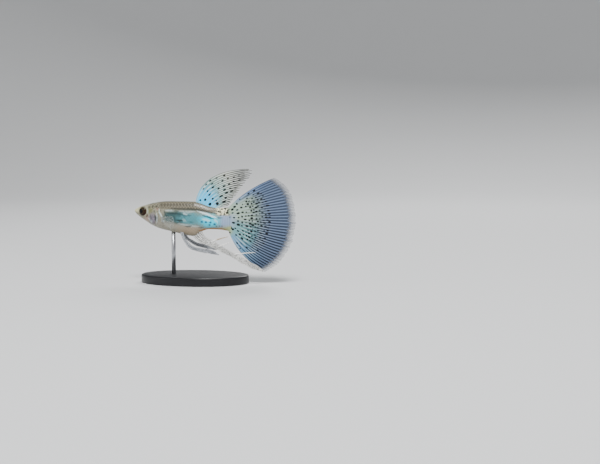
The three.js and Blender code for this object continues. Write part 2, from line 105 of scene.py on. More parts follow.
# %% Camera
PICTURE = (600, 464)
PIXELS_PER_MM = 3.44
DISTANCE = 300.0
SENSOR = 36.0
fish_middle = Vector(in_metres((24.4, 0.0, -2.5)))
middle_pixel = (216, 219)
azimuth, elevation = math.radians(15), math.radians(4)
towards_camera = Vector(
    (math.sin(azimuth) * math.cos(elevation), -math.cos(azimuth) * math.cos(elevation), math.sin(elevation))
)
right = Vector((math.cos(azimuth), math.sin(azimuth), 0.0))
upwards = towards_camera.cross(right)
camera_data = bpy.data.cameras.new("camera")
camera_data.sensor_width = SENSOR
camera_data.lens = SENSOR * DISTANCE * PIXELS_PER_MM / PICTURE[0]
camera_data.clip_start = 0.01
camera = bpy.data.objects.new("camera", camera_data)
bpy.context.scene.collection.objects.link(camera)
camera.location = fish_middle + towards_camera * DISTANCE * MM
aim = fish_middle + right * ((PICTURE[0] / 2 - middle_pixel[0]) / PIXELS_PER_MM * MM)
aim -= upwards * ((PICTURE[1] / 2 - middle_pixel[1]) / PIXELS_PER_MM * MM)
camera.rotation_euler = (aim - camera.location).to_track_quat("-Z", "Y").to_euler()
bpy.context.scene.camera = camera
print("camera lens", round(camera_data.lens, 1), "mm, height", round(camera.location.z, 3), "m")

# %% [markdown]
# ## Colours and nodes
# Colours are picked as sRGB hex values, as in any picture editor, but shaders work in linear light, so one
# function turns them. A second small function, add_node, adds any node with its settings and links, and
# set_node gives them to a node that is there already.

# %% Colour and node helpers
def linear(hex_colour):
    parts = [int(hex_colour[i : i + 2], 16) / 255 for i in (1, 3, 5)]
    return tuple(p / 12.92 if p <= 0.04045 else ((p + 0.055) / 1.055) ** 2.4 for p in parts) + (1.0,)


def set_node(tree, node, settings=(), links=()):
    """Gives a node its settings and links. A link comes from a socket, a node or a named attribute."""
    for name, value in dict(settings).items():
        if isinstance(name, int) or name in node.inputs:
            node.inputs[name].default_value = value
        else:
            setattr(node, name, value)
    for name, source in dict(links).items():
        if isinstance(source, str):
            source = add_node(tree, "Attribute", {"attribute_name": source}).outputs["Fac"]
        elif isinstance(source, bpy.types.Node):
            source = source.outputs[0]
        tree.links.new(source, node.inputs[name])
    return node


def add_node(tree, kind, settings=(), links=()):
    return set_node(tree, tree.nodes.new("ShaderNode" + kind), settings, links)


def new_material(name):
    material = bpy.data.materials.new(name)
    material.use_nodes = True
    tree = material.node_tree
    return material, tree, tree.nodes["Principled BSDF"]


SOFT_STEP = {"interpolation_type": "SMOOTHSTEP"}  # a Map Range that eases in and out


def paint_layers(tree, ground, layers):
    """Lays each colour over the ones before it where its mask is high."""
    painted = ground
    for mask, colour in layers:
        over = add_node(tree, "Mix", {"data_type": "RGBA", 7: linear(colour)}, {0: mask, 6: painted})
        painted = over.outputs[2]
    return painted


print("black is", linear("#000000"), "and middle grey", linear("#808080")[0])

# %% Floor
FLOOR_START, FLOOR_FLAT, FLOOR_BEND = 0.02, 0.5, 0.5  # its first ring, flat part and bend radius, in metres
FLOOR_RISE = 80  # how steep the floor is at its rim, in degrees
bm = bmesh.new()
profile = [bm.verts.new((0, 0, 0))]
profile += [bm.verts.new((mix(FLOOR_START, FLOOR_FLAT, i / 6), 0, 0)) for i in range(7)]
for i in range(1, 13):
    bend = math.radians(FLOOR_RISE * i / 12)
    ahead, up = FLOOR_BEND * math.sin(bend), FLOOR_BEND * (1 - math.cos(bend))
    profile.append(bm.verts.new((FLOOR_FLAT + ahead, 0, up)))
edges = [bm.edges.new(pair) for pair in zip(profile, profile[1:])]
bmesh.ops.spin(
    bm, geom=profile + edges, cent=(0, 0, 0), axis=(0, 0, 1), angle=2 * math.pi, steps=64, use_merge=True
)
bmesh.ops.remove_doubles(bm, verts=bm.verts, dist=1e-5)
bmesh.ops.recalc_face_normals(bm, faces=bm.faces)
for face in bm.faces:
    face.smooth = True
floor_mesh = bpy.data.meshes.new("floor")
bm.to_mesh(floor_mesh)
bm.free()
floor = bpy.data.objects.new("floor", floor_mesh)
bpy.context.scene.collection.objects.link(floor)
# Matt paper gives an even pale ground without a highlight.
paper, tree, shader = new_material("matt_paper")
set_node(tree, shader, {"Base Color": linear("#c9cacb"), "Roughness": 0.9})
floor_mesh.materials.append(paper)
print("floor is", 2 * FLOOR_FLAT, "m across where it is flat")

# %% Light
world = bpy.data.worlds.new("soft_room")
world.use_nodes = True
sky = world.node_tree.nodes["Background"]
set_node(world.node_tree, sky, {"Color": linear("#e8ecf0"), "Strength": 0.14})
bpy.context.scene.world = world

LIGHTS = {  # place in metres, size in metres and power in watts
    "key": ((0.1, -0.36, 0.62), 0.22, 8.5),
    "fill": ((-0.55, -0.35, 0.25), 0.4, 0.9),
    "back": ((0.1, 0.5, 0.45), 0.35, 3.5),
}
for name, (place, size, watts) in LIGHTS.items():
    lamp = bpy.data.lights.new(name, "AREA")
    lamp.size = size
    lamp.energy = watts
    lamp_object = bpy.data.objects.new(name, lamp)
    lamp_object.location = place
    lamp_object.rotation_euler = (fish_middle - Vector(place)).to_track_quat("-Z", "Y").to_euler()
    bpy.context.scene.collection.objects.link(lamp_object)
print("lights:", len(LIGHTS))

# %% [markdown]
# ## Making a piece
# Every shape in this lesson starts as a simple bmesh shape whose points are then moved by a formula. A
# sphere becomes a body, a ray or an eye: its two poles become the two ends. A flat grid that is extruded
# once becomes a fin with two faces and a closed rim. The start shape tells where each point belongs, so
# the formula is all that changes from piece to piece.

# %% Start shapes
def closed_tube(bm, around, along):
    """A sphere that stands for a closed tube. Gives its points, 0 to 1 along it, and the turn round it."""
    points = bmesh.ops.create_uvsphere(bm, u_segments=around, v_segments=along, radius=1.0)["verts"]
    place = np.array([point.co for point in points])
    share = np.arccos(np.clip(place[:, 2], -1.0, 1.0)) / math.pi
    return points, share, np.arctan2(place[:, 1], place[:, 0])


def thin_sheet(bm, columns, rows):
    """A closed thin sheet. Gives its points, s across it, r from root to margin, and each point's face."""
    points = bmesh.ops.create_grid(bm, x_segments=columns, y_segments=rows, size=0.5)["verts"]
    faces = list({face for point in points for face in point.link_faces})
    raised = bmesh.ops.extrude_face_region(bm, geom=faces)["geom"]
    tops = [part for part in raised if isinstance(part, bmesh.types.BMVert)]
    bmesh.ops.translate(bm, verts=tops, vec=(0, 0, 1))
    points = points + tops
    place = np.array([point.co for point in points])
    return points, place[:, 0] + 0.5, place[:, 1] + 0.5, np.where(place[:, 2] > 0.5, 1.0, -1.0)


def move_to(points, places):
    for point, place in zip(points, in_metres(places)):
        point.co = place


def finish_piece(bm, name, material, nodes, points=(), marks=None):
    """Turns a bmesh into a piece that rides with the stand, and stores its marks at its points."""
    bmesh.ops.recalc_face_normals(bm, faces=bm.faces)
    bm.verts.index_update()
    numbers = [point.index for point in points]
    for face in bm.faces:
        face.smooth = True
    mesh = bpy.data.meshes.new(name)
    bm.to_mesh(mesh)
    bm.free()
    for mark, values in (marks or {}).items():
        stored = np.zeros(len(numbers), np.float32)
        stored[numbers] = values
        mesh.attributes.new(mark, "FLOAT", "POINT").data.foreach_set("value", stored)
    piece = bpy.data.objects.new(name, mesh)
    bpy.context.scene.collection.objects.link(piece)
    mesh.materials.append(material)
    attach(piece, "root")
    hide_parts(*nodes)
    print(name, "has", sum(len(face.vertices) - 2 for face in mesh.polygons), "triangles")


def clipped(marks):
    return {name: np.clip(values, 0, 1) for name, values in marks.items()}


# %% [markdown]
# ## The body's shape
# The body is a row of sections, each a superellipse: a rounder or boxier oval. Between the named places a
# curve runs that never overshoots, so the outline stays as smooth as the real one. One closed skin covers
# head, trunk and tail stalk, so no seam shows.

# %% Body stations
FIELDS = ("along", "back", "belly", "level", "half", "crown", "keel")
STATIONS = np.array(
    [
        (0.0, 0.35, -0.85, -0.1, 0.9, 2.4, 2.0),  # snout
        (1.5, 0.95, -1.95, -0.3, 1.5, 2.8, 2.0),  # nostril
        (3.0, 1.5, -2.95, -0.5, 1.95, 3.0, 2.0),  # eye
        (5.2, 2.08, -4.3, -0.8, 2.25, 2.6, 2.0),  # cheek
        (7.5, 2.5, -5.25, -1.1, 2.42, 2.3, 2.1),  # gill
        (10.5, 2.72, -5.95, -1.3, 2.45, 2.1, 2.1),  # shoulder
        (14.0, 2.72, -6.75, -1.5, 2.3, 2.0, 1.85),  # pelvic fins
        (17.8, 2.66, -7.4, -1.7, 1.95, 2.0, 1.5),  # vent
        (19.8, 2.2, -6.1, -1.8, 1.75, 2.0, 1.6),  # anal fin
        (22.5, 1.3, -5.3, -2.0, 1.5, 1.9, 1.9),  # loin
        (25.5, 0.82, -5.35, -2.2, 1.22, 1.9, 2.0),  # stalk
        (BODY_LENGTH, 1.0, -5.75, -2.35, 0.85, 2.0, 2.0),  # tail root
    ]
)
NOSE_ROUND = 1.0
GILL_SEAM, GILL_BULGE, GILL_SWEEP, GILL_REACH = 6.5, 1.1, 1.2, 2.6
FLESHY_END = 0.9  # how far the flesh runs out on the tail fin's root


def station(field, along):
    knots, values = STATIONS[:, 0], STATIONS[:, FIELDS.index(field)]
    slope = np.diff(values) / np.diff(knots)
    both, total = slope[:-1] * slope[1:], slope[:-1] + slope[1:]
    inner = np.where(both > 0, 2 * both / np.where(total == 0, 1, total), 0.0)
    tangent = np.concatenate([slope[:1], inner, slope[-1:]])
    x = np.clip(along, knots[0], knots[-1])
    i = np.clip(np.searchsorted(knots, x, side="right") - 1, 0, len(knots) - 2)
    span = knots[i + 1] - knots[i]
    t = (x - knots[i]) / span
    rise = t * t * (3 - 2 * t)
    lead, trail = t * (1 - t) ** 2 * span * tangent[i], -t * t * (1 - t) * span * tangent[i + 1]
    return values[i] + (values[i + 1] - values[i]) * rise + lead + trail


def section_reach(share, squareness):
    return np.maximum(0, 1 - np.minimum(1, np.abs(share)) ** squareness) ** (1 / squareness)


def back_at(along, aside=0.0):
    level = station("level", along)
    reach = section_reach(aside / station("half", along), station("crown", along))
    return level + (station("back", along) - level) * reach


def belly_at(along, aside=0.0):
    level = station("level", along)
    reach = section_reach(aside / station("half", along), station("keel", along))
    return level - (level - station("belly", along)) * reach


def flank_at(along, up):
    level = station("level", along)
    above = up > level
    height = np.where(above, station("back", along) - level, level - station("belly", along))
    squareness = np.where(above, station("crown", along), station("keel", along))
    return station("half", along) * section_reach((up - level) / height, squareness)


def skin_point(ring, turn):
    """A point of the skin. The rings bend round the gill seam, as in the solids."""
    side, rise = np.cos(turn), np.sin(turn)
    pull = np.exp(-(((ring - GILL_SEAM) / GILL_REACH) ** 2))
    x = ring + pull * (GILL_BULGE * side**2 - GILL_SWEEP * np.maximum(0, -rise) ** 2)
    blunt = np.where(x < NOSE_ROUND, np.sqrt(np.maximum(0, 1 - (1 - x / NOSE_ROUND) ** 2)), 1.0)
    past = np.clip((ring - BODY_LENGTH) / FLESHY_END, 0, 1)
    level = station("level", x)
    up = rise > 0
    power = 2 / np.where(up, station("crown", x), station("keel", x))
    height = np.where(up, station("back", x) - level, level - station("belly", x))
    height = height * (1 - past**6) ** (1 / 6)
    width = station("half", x) * (1 - 0.75 * past) * np.sqrt(1 - past**6)
    y = width * np.sign(side) * np.abs(side) ** power * blunt
    return np.stack([x, y, level + height * np.sign(rise) * np.abs(rise) ** power * blunt], axis=-1)


print("body is", round(float(station("back", 12) - station("belly", 12)), 2), "mm deep behind the gills")

# %% [markdown]
# ## Relief of the skin
# A guppy's scales overlap like roof tiles, with the free edge towards the tail. Each scale rises slowly to
# its free edge and drops there, which catches a thin line of light. The mouth, the gill cover, the rim of
# the eye and the nostrils are also relief, so that they hold in every view.

# %% Scales
SCALE_LENGTH = (1.05, 0.72)  # at the shoulder and at the tail root
SCALE_ROWS = 11  # from belly to back on one side
SCALE_ARC = 0.48  # how far the middle of the free edge reaches back, in scale lengths
ARC_STEPS = 24


def scale_grid(ring, turn):
    """How many scales along and how many rows up each point lies."""
    front, rear = SCALE_LENGTH
    slope = (rear - front) / BODY_LENGTH
    along = np.log(1 + slope * ring / front) / slope
    folded = np.where(np.cos(turn) < 0, math.pi - turn, turn)
    folded = np.where(folded > math.pi, folded - 2 * math.pi, folded)
    lengths = []
    for top in (folded, np.full_like(folded, math.pi / 2)):
        steps = [skin_point(ring, mix(-math.pi / 2, top, i / ARC_STEPS)) for i in range(ARC_STEPS + 1)]
        lengths.append(sum(np.linalg.norm(b - a, axis=-1) for a, b in zip(steps, steps[1:])))
    return along, SCALE_ROWS * lengths[0] / np.maximum(lengths[1], 1e-6)


def scale_edge(along, rows):
    """Distance forward of the free edge of the scale on top, in scale lengths: 0 at the edge."""
    nearest = np.ones_like(along)
    for offset in (0.0, 0.5):
        aside = (rows + offset) % 1.0 - 0.5
        arc = SCALE_ARC * np.sqrt(np.maximum(0, 1 - (1.9 * aside) ** 2))
        nearest = np.minimum(nearest, 1 - (along - arc + offset) % 1.0)
    return nearest


def soft_scale_edge(along, rows):
    """The same distance, averaged over the skin round each point, so that its steps aren't jagged."""
    shifts = [(ahead, aside) for ahead in (-0.05, -0.017, 0.017, 0.05) for aside in (-0.035, 0.0, 0.035)]
    return sum(scale_edge(along + ahead, rows + aside) for ahead, aside in shifts) / len(shifts)


print("scales along the body:", round(float(scale_grid(np.array([BODY_LENGTH]), np.array([0.0]))[0][0])))

# %% Mouth, gill cover and eye rim
EYE = {"along": 2.95, "up": -0.25, "aside": 1.5, "radius": 1.3, "depth": 0.84, "turned_forward": 0.24}
MOUTH = {"tip_along": 0.06, "tip_up": 0.16, "corner_along": 1.0, "corner_up": -0.8}
NOSTRIL = (1.5, 0.72, 0.85)  # along, aside and up
# Each rim has its height, its distance from its line and its width. A groove's height is below 0.
LIP, SLIT = (0.13, 0.17, 0.11), (-0.24, 0.0, 0.055)
EYE_RIM, EYE_GROOVE = (0.07, 0.24, 0.13), (-0.16, 0.0, 0.09)
NOSTRIL_RIM, NOSTRIL_HOLE = (0.05, 0.24, 0.07), (-0.16, 0.0, 0.13)
GILL_GROOVE, CHEEK_GROOVE = (-0.08, 0.12, 0.1), (-0.07, 4.35, 0.1)
GILL_LIFT, SCALE_LIFT = 0.13, 0.045
NAPE_SCALES = 0.7  # how strong the scales are on top of the head


def hill(distance, width):
    return np.exp(-((distance / width) ** 2))


def rim(distance, height, off, width):
    return height * hill(distance - off, width)


def turn_up(turn):
    """The turn measured from the flank, the same on both sides."""
    return np.arctan2(np.sin(turn), np.abs(np.cos(turn)))


def eye_depth(points):
    """Distance outside an eye's surface, in mm: below 0 inside the eye."""
    turn = EYE["turned_forward"]
    x = points[:, 0] - EYE["along"]
    y = np.abs(points[:, 1]) - EYE["aside"]
    along = x * math.cos(turn) + y * math.sin(turn)
    out = y * math.cos(turn) - x * math.sin(turn)
    in_plane = (along**2 + (points[:, 2] - EYE["up"]) ** 2) / EYE["radius"] ** 2
    return (np.sqrt(in_plane + (out / EYE["depth"]) ** 2) - 1) * EYE["radius"]


def mouth_line(points):
    """Distance from the plane of the mouth's slit, and how far along it the mouth still runs."""
    across = np.array([MOUTH["corner_up"] - MOUTH["tip_up"], MOUTH["tip_along"] - MOUTH["corner_along"]])
    across = across / np.linalg.norm(across)
    off = (points[:, 0] - MOUTH["tip_along"]) * across[0] + (points[:, 2] - MOUTH["tip_up"]) * across[1]
    return off, 1 - smooth(MOUTH["corner_along"] - 0.15, MOUTH["corner_along"] + 0.1, points[:, 0])


def skin_relief(ring, turn, points, edge):
    off, open_here = mouth_line(points)
    lips = rim(np.abs(off), *LIP) + rim(off, *SLIT)
    out = eye_depth(points)
    orbit = rim(out, *EYE_RIM) + rim(out, *EYE_GROOVE)
    one_side = points.copy()
    one_side[:, 1] = np.abs(one_side[:, 1])
    from_nostril = np.linalg.norm(one_side - NOSTRIL, axis=1)
    nostrils = rim(from_nostril, *NOSTRIL_RIM) + rim(from_nostril, *NOSTRIL_HOLE)
    behind = ring - GILL_SEAM
    cover = GILL_LIFT * between(behind, (-2.6, -0.1), (-0.05, 0.1)) + rim(behind, *GILL_GROOVE)
    below_crown = smooth(-1.0, -0.4, -np.abs(turn_up(turn)))
    cheek_line = rim(ring - 0.3 * np.cos(2 * turn), *CHEEK_GROOVE) * below_crown
    side_of_head = smooth(0.15, 0.5, np.abs(np.cos(turn)))
    nape = NAPE_SCALES * smooth(3.5, 5.5, ring) * smooth(0.75, 0.9, np.sin(turn))
    scaled = np.clip(smooth(GILL_SEAM + 0.1, GILL_SEAM + 0.6, ring) + nape, 0, 1)
    tiles = SCALE_LIFT * (1 - edge) * scaled * (1 - smooth(BODY_LENGTH - 0.6, BODY_LENGTH + 0.3, ring))
    return open_here * lips + orbit + nostrils + side_of_head * (cover + cheek_line) + tiles


print("eye is", 2 * EYE["radius"], "mm across")

# %% [markdown]
# ## Markings of the skin
# A real guppy's colours are patches with soft edges: an olive back with a dark net along the scale edges,
# a teal and cyan flank, an electric blue loin, and a cream belly and stalk. Each patch is one attribute of
# the skin, from 0 to 1, worked out from the place on the body, and it is the same on both sides. The
# material mixes its colours by them.

# %% Marking helpers
def cloud(x, z, size):
    """Uneven waves from about -1 to 1, with blobs of that size in mm, to break up clean edges."""
    total = np.zeros_like(x)
    for k in range(7):
        turned = 2.4 * k + 0.7
        pace = 2 * math.pi / size * (0.55 + 0.22 * k)
        ahead = x * math.cos(turned) + z * math.sin(turned)
        aside = z * math.cos(turned) - x * math.sin(turned)
        total += np.sin(pace * ahead + 1.9 * k + 1.4 * np.sin(0.6 * pace * aside + k))
    return total / 3


def patch(x, z, middle, reach, blur):
    away = np.hypot((x - middle[0]) / reach[0], (z - middle[1]) / reach[1])
    return 1 - smooth(1 - blur, 1 + blur, away + 0.1 * cloud(x, z, 1.6) + 0.05 * cloud(x, z, 0.6))


def streak(x, z, path, width):
    """A soft brush stroke along the path: full in its middle, thin at its ends and a little uneven."""
    steps = np.hypot(*np.diff(np.array(path), axis=0).T)
    nearest, place, passed = np.full_like(x, 1e9), np.zeros_like(x), 0.0
    for (x0, z0), (x1, z1), length in zip(path, path[1:], steps):
        share = np.clip(((x - x0) * (x1 - x0) + (z - z0) * (z1 - z0)) / length**2, 0, 1)
        off = np.hypot(x - x0 - share * (x1 - x0), z - z0 - share * (z1 - z0))
        place = np.where(off < nearest, (passed + share * length) / steps.sum(), place)
        nearest = np.minimum(nearest, off)
        passed += length
    uneven = 1 + 0.3 * cloud(x, z, 0.9) + 0.15 * cloud(z, x, 0.4)
    brush = width * (0.35 + 0.65 * np.sin(math.pi * place)) * uneven
    return 1 - smooth(0.2, 0.85, nearest / np.maximum(brush, 0.05))


def any_of(*masks):
    left = np.ones_like(masks[0])
    for mask in masks:
        left = left * (1 - np.clip(mask, 0, 1))
    return 1 - left


def painted_strokes(x, z, strokes):
    return any_of(*[strength * streak(x, z, path, width) for strength, width, path in strokes])


def dotted(x, z, places, reach, blur):
    return any_of(*[patch(x, z, place, reach, blur) for place in places])


sample = cloud(np.linspace(0, 9, 90), np.zeros(90), 1.0)
print("a cloud runs from", sample.min().round(1), "to", sample.max().round(1))

# %% Marking places
# Each stroke has its strength, its width in mm and its path of places (along, up) on the flank, set one by
# one after the photo.
WHITE_STROKES = (
    (0.35, 0.5, ((9.9, 0.1), (11.0, 0.1), (12.4, 0.0))),
    (0.3, 0.6, ((14.0, 0.0), (15.4, -0.2), (16.6, -0.3), (18.6, -0.1))),
    (0.5, 0.6, ((15.2, -0.7), (16.4, -1.1))),
    (0.25, 0.7, ((15.0, -2.4), (16.0, -3.0))),
    (1.0, 0.52, ((19.2, 0.1), (20.6, -0.4), (21.7, -0.7), (23.0, -1.2), (24.3, -1.65), (25.2, -2.0))),
    (0.65, 0.7, ((20.8, -2.3), (21.6, -2.45), (23.0, -2.8))),
    (0.6, 0.6, ((24.0, -2.3), (25.0, -2.9), (25.2, -3.5))),
    (0.65, 0.42, ((8.1, 0.5), (8.0, -0.3), (8.6, -1.1), (9.0, -2.0), (9.3, -3.3))),
    (0.8, 0.5, ((9.15, -2.5), (9.3, -3.2))),
    (0.45, 0.4, ((7.3, -0.6), (7.5, -2.0), (7.1, -3.6))),
    (0.25, 0.4, ((4.42, 0.5), (4.55, -0.2), (4.4, -1.0))),
    (0.4, 0.6, ((4.6, -2.2), (5.4, -2.9), (5.6, -3.6))),
    (0.4, 0.5, ((13.5, -3.6), (16.5, -4.2), (20.0, -4.6))),
)
BACK_SHADOW = (
    *((11.5, 0.75), (14.0, 0.55), (17.5, 0.5), (19.6, 0.3)),
    *((21.6, -0.05), (23.2, -0.45), (25.0, -0.75)),
)
DARK_STROKES = (
    (0.6, 0.55, ((9.8, -0.55), (11.4, -0.7), (13.2, -0.75), (15.2, -0.95))),
    (0.9, 0.45, ((20.8, -1.3), (22.2, -1.65), (23.3, -2.0), (24.2, -2.3))),
    (0.85, 0.5, ((13.3, -2.65), (14.1, -2.75), (15.0, -2.7))),
    (0.45, 0.5, ((12.8, -3.45), (14.4, -3.5))),
    (0.5, 0.5, ((9.6, 0.0), (10.1, -1.4), (11.0, -2.1))),
    (0.85, 0.6, ((6.75, -1.2), (6.95, -2.0), (6.8, -2.9))),
    (0.55, 0.4, ((6.5, 0.2), (6.7, -0.6))),
    (0.6, 0.5, ((5.3, -1.2), (5.55, -2.1), (5.3, -2.8))),
    (0.75, 0.6, BACK_SHADOW),
    (0.5, 0.4, ((14.6, -1.1), (16.0, -1.35), (17.6, -1.3))),
    (0.4, 0.4, ((16.6, -3.1), (18.2, -3.3))),
    (0.6, 0.45, ((24.9, -1.9), (25.9, -1.95), (26.6, -1.9))),
    (0.7, 0.5, ((15.6, -4.5), (16.6, -4.5), (17.6, -4.3))),
    (0.5, 0.35, ((19.4, -4.7), (21.0, -4.7))),
)
ORANGE_LINE = ((19.6, -5.8), (20.5, -5.5), (22.5, -5.15), (25.5, -5.2), (27.6, -5.4))
BROWN_TEAR = ((4.4, -0.9), (4.3, -1.4), (4.0, -1.9))
HEAD_DOTS = [(4.9 + 1.15 * k, 0.95 + 0.12 * k) for k in range(3)]
BACK_DOTS = HEAD_DOTS + [(8.6 + 0.92 * k, 1.62 + 0.02 * k) for k in range(11)]
BLUE_DOTS = ((20.6, -3.1), (21.8, -3.2), (23.1, -3.3), (24.3, -3.8), (22.8, -4.0))
TICKS = ((24.8, -4.35), (25.7, -4.3), (26.4, -4.35), (28.7, -1.75), (8.55, 0.06))
# Each patch has its middle (along, up), its reach (along, up) and how soft its edge is.
PATCHES = {
    "teal": ((12.6, -1.9), (4.4, 2.0), 0.45),
    "cyan": ((17.6, -2.3), (3.6, 1.9), 0.6),
    "electric": ((22.9, -2.9), (2.7, 1.8), 0.6),
    "peach": ((17.0, -5.7), (3.4, 1.3), 0.7),
    "olive_cheek": ((5.2, -0.1), (0.9, 0.9), 0.7),
    "cheek": ((6.0, -2.3), (1.2, 1.5), 0.6),
    "rosy_nape": ((7.5, 0.6), (0.45, 0.35), 0.8),
    "rosy_cheek": ((4.2, -2.4), (0.7, 0.6), 0.9),
}
# How high the olive back begins and the pale belly ends, at places along the body.
BACK_LINE = ((3, 5, 9.6, 14, 17, 20.2, 23.2, 25.3, 29), (0.9, 0.6, 0.6, 0.35, 0.4, 0.2, -0.4, -0.1, 0.9))
BELLY_LINE = ((3, 7, 9, 13, 17, 20, 24, 29), (-2.6, -3.2, -3.4, -3.7, -4.3, -4.7, -5.0, -5.2))
BAR_SPACING = 0.5
print("strokes:", len(WHITE_STROKES + DARK_STROKES), "and patches:", len(PATCHES))


# %% Markings
# Ranges of x are in mm from the snout's tip, and ranges of z in mm above it.
def skin_markings(ring, turn, points, edge):
    x, z = points[:, 0], points[:, 2]
    area = {name: patch(x, z, *place) for name, place in PATCHES.items()}
    electric, cyan = area["electric"], area["cyan"]
    ripple = 0.16 * cloud(x, z, 1.5) + 0.08 * cloud(x, z, 0.5)
    x_soft, z_soft = x + 0.25 * cloud(x, z, 1.3), z + 0.12 * cloud(z, x, 1.1)
    above_line = z - np.interp(x, *BACK_LINE)
    body = smooth(8.4, 10.4, x_soft)
    olive = smooth(-0.35, 0.3, above_line + ripple) * smooth(3.0, 6, x) * (1 - smooth(24.0, 25.2, x_soft))
    pale_belly = smooth(-0.8, 0.6, np.interp(x, *BELLY_LINE) - z + ripple)
    lavender = smooth(24.8, 26.4, x_soft) * between(z_soft, (-4.9, -4.3), (-1.3, -0.7))
    cream_stalk = smooth(24.3, 25.2, x_soft) * smooth(-1.5, -1.0, z_soft)
    teal = area["teal"] * body
    bars = np.sin(2 * math.pi * (x + 0.05 * (z + 3) ** 2 + 0.03 * cloud(x, z, 1.2)) / BAR_SPACING)
    x_curl, z_curl = x + 0.22 * cloud(x, z, 1.9), z + 0.22 * cloud(z, x, 1.6)
    curls = np.sin(5.6 * x_curl + 1.8 * np.sin(3.1 * z + 0.8))
    curls = curls * np.cos(5.2 * z_curl + 1.6 * np.sin(2.6 * x + 1.0))
    # The pale line along the crest of the back is a painted highlight, where light from above catches the
    # back's top edge.
    crest = np.sin(turn) - mix(0.9, 0.965, smooth(4.5, 8.5, x))
    painted_ridge_highlight = 0.4 * smooth(0, 0.04, crest) * between(x, (1.2, 3.0), (18.0, 19.5))
    net = smooth(3.5, 5.5, ring) * (1 - smooth(24.5, 25.5, x)) * mix(0.2, 1.0, smooth(-0.5, 0.4, above_line))
    teal_shade = 0.35 * smooth(0.1, 0.9, cloud(x, z, 2.4)) * teal
    head_shade = 0.35 * smooth(0.3, 1.0, cloud(x, z, 1.0)) * (1 - body) * smooth(4.5, 6.0, x)
    return {
        "olive_back": olive * mix(0.2, 1.0, smooth(6.0, 9.5, x)),
        "pale_belly": pale_belly,
        "peach_belly": 0.5 * area["peach"] * pale_belly,
        "teal_flank": teal * (1 - olive) * (1 - pale_belly),
        "cyan_flank": cyan * (1 - olive) * (1 - 0.6 * pale_belly),
        "electric_flank": electric * (1 - olive),
        "lavender_stalk": lavender * (1 - 0.7 * electric),
        "stalk_bars": 0.5 * lavender * smooth(0.3, 0.9, bars) * (1 - electric),
        "cream_stalk": cream_stalk * (1 - 0.5 * smooth(27.6, 29.0, x_soft)),
        "tail_green": 0.75 * smooth(27.2, 29.0, x_soft) * (1 - 0.8 * lavender),
        "gold_root": 0.75 * smooth(25.8, 28.2, x_soft) * (1 - smooth(-4.6, -3.9, z_soft)),
        "orange_line": 0.9 * streak(x, z, ORANGE_LINE, 0.55),
        "olive_cheek": area["olive_cheek"],
        "cheek": area["cheek"],
        "rosy": any_of(area["rosy_nape"], 0.7 * area["rosy_cheek"]),
        "snout": (1 - smooth(0.9, 2.4, x)) * smooth(-0.9, 0.0, z),
        # The pale strokes are pearl markings of the flank, and the line along the back's crest in the same
        # mark is a painted highlight.
        "pearl_streaks_and_ridge_highlight": np.maximum(painted_strokes(x, z, WHITE_STROKES), painted_ridge_highlight),
        "blue_dots": 0.9 * dotted(x, z, BLUE_DOTS, (0.34, 0.27), 0.5),
        "brown_tear": 0.85 * streak(x, z, BROWN_TEAR, 0.42),
        "shade": any_of(painted_strokes(x, z, DARK_STROKES), teal_shade, head_shade),
        "back_dots": 0.8 * dotted(x, z, BACK_DOTS, (0.26, 0.3), 0.6),
        "ticks": 0.6 * dotted(x, z, TICKS, (0.22, 0.22), 0.5),
        "curls": 0.5 + 0.5 * curls,
        "curls_here": cream_stalk * (1 - smooth(28.2, 29.1, x)),
        "net_here": net * (1 - 0.6 * electric),
        "free_edge": edge,
        "shine": 0.25 * electric + 0.5 * cyan + 0.4 * lavender + 0.3 * teal,
    }


# %% [markdown]
# ## Finish of the skin
# The skin of a museum model is painted resin under a thin clear varnish: a satin ground with a wet gloss
# on top. The guanine crystals in a guppy's flank make it shine like thin metal, so the blue patches are
# partly metallic.

# %% Varnished skin
# The eye sees a mottled satin skin with a thin wet sheen. Noise scales count to the metre: 2600 makes a
# speckle every 0.38 mm, and 5200 a grain every 0.19 mm, coarser than real pigment cells, so that they show.
skin_finish, tree, shader = new_material("varnished_fish_skin")
place = add_node(tree, "TexCoord").outputs["Object"]
speckle = add_node(tree, "TexNoise", {"Scale": 2600.0, "Detail": 3.0, "Roughness": 0.6}, {"Vector": place})
grain = add_node(tree, "TexNoise", {"Scale": 5200.0, "Detail": 2.0}, {"Vector": place})
dull, bright = linear("#66634f"), linear("#a9a692")
ground = add_node(tree, "Mix", {"data_type": "RGBA", 6: dull, 7: bright}, {0: speckle})
# The free edge of each scale carries a thin dark line of pigment.
edge_range = {"From Min": 0.36, "From Max": 0.08, "To Min": 0.0, "To Max": 0.85}
edge_line = add_node(tree, "MapRange", SOFT_STEP | edge_range, {"Value": "free_edge"})
scale_net = add_node(tree, "Math", {"operation": "MULTIPLY"}, {0: edge_line, 1: "net_here"})
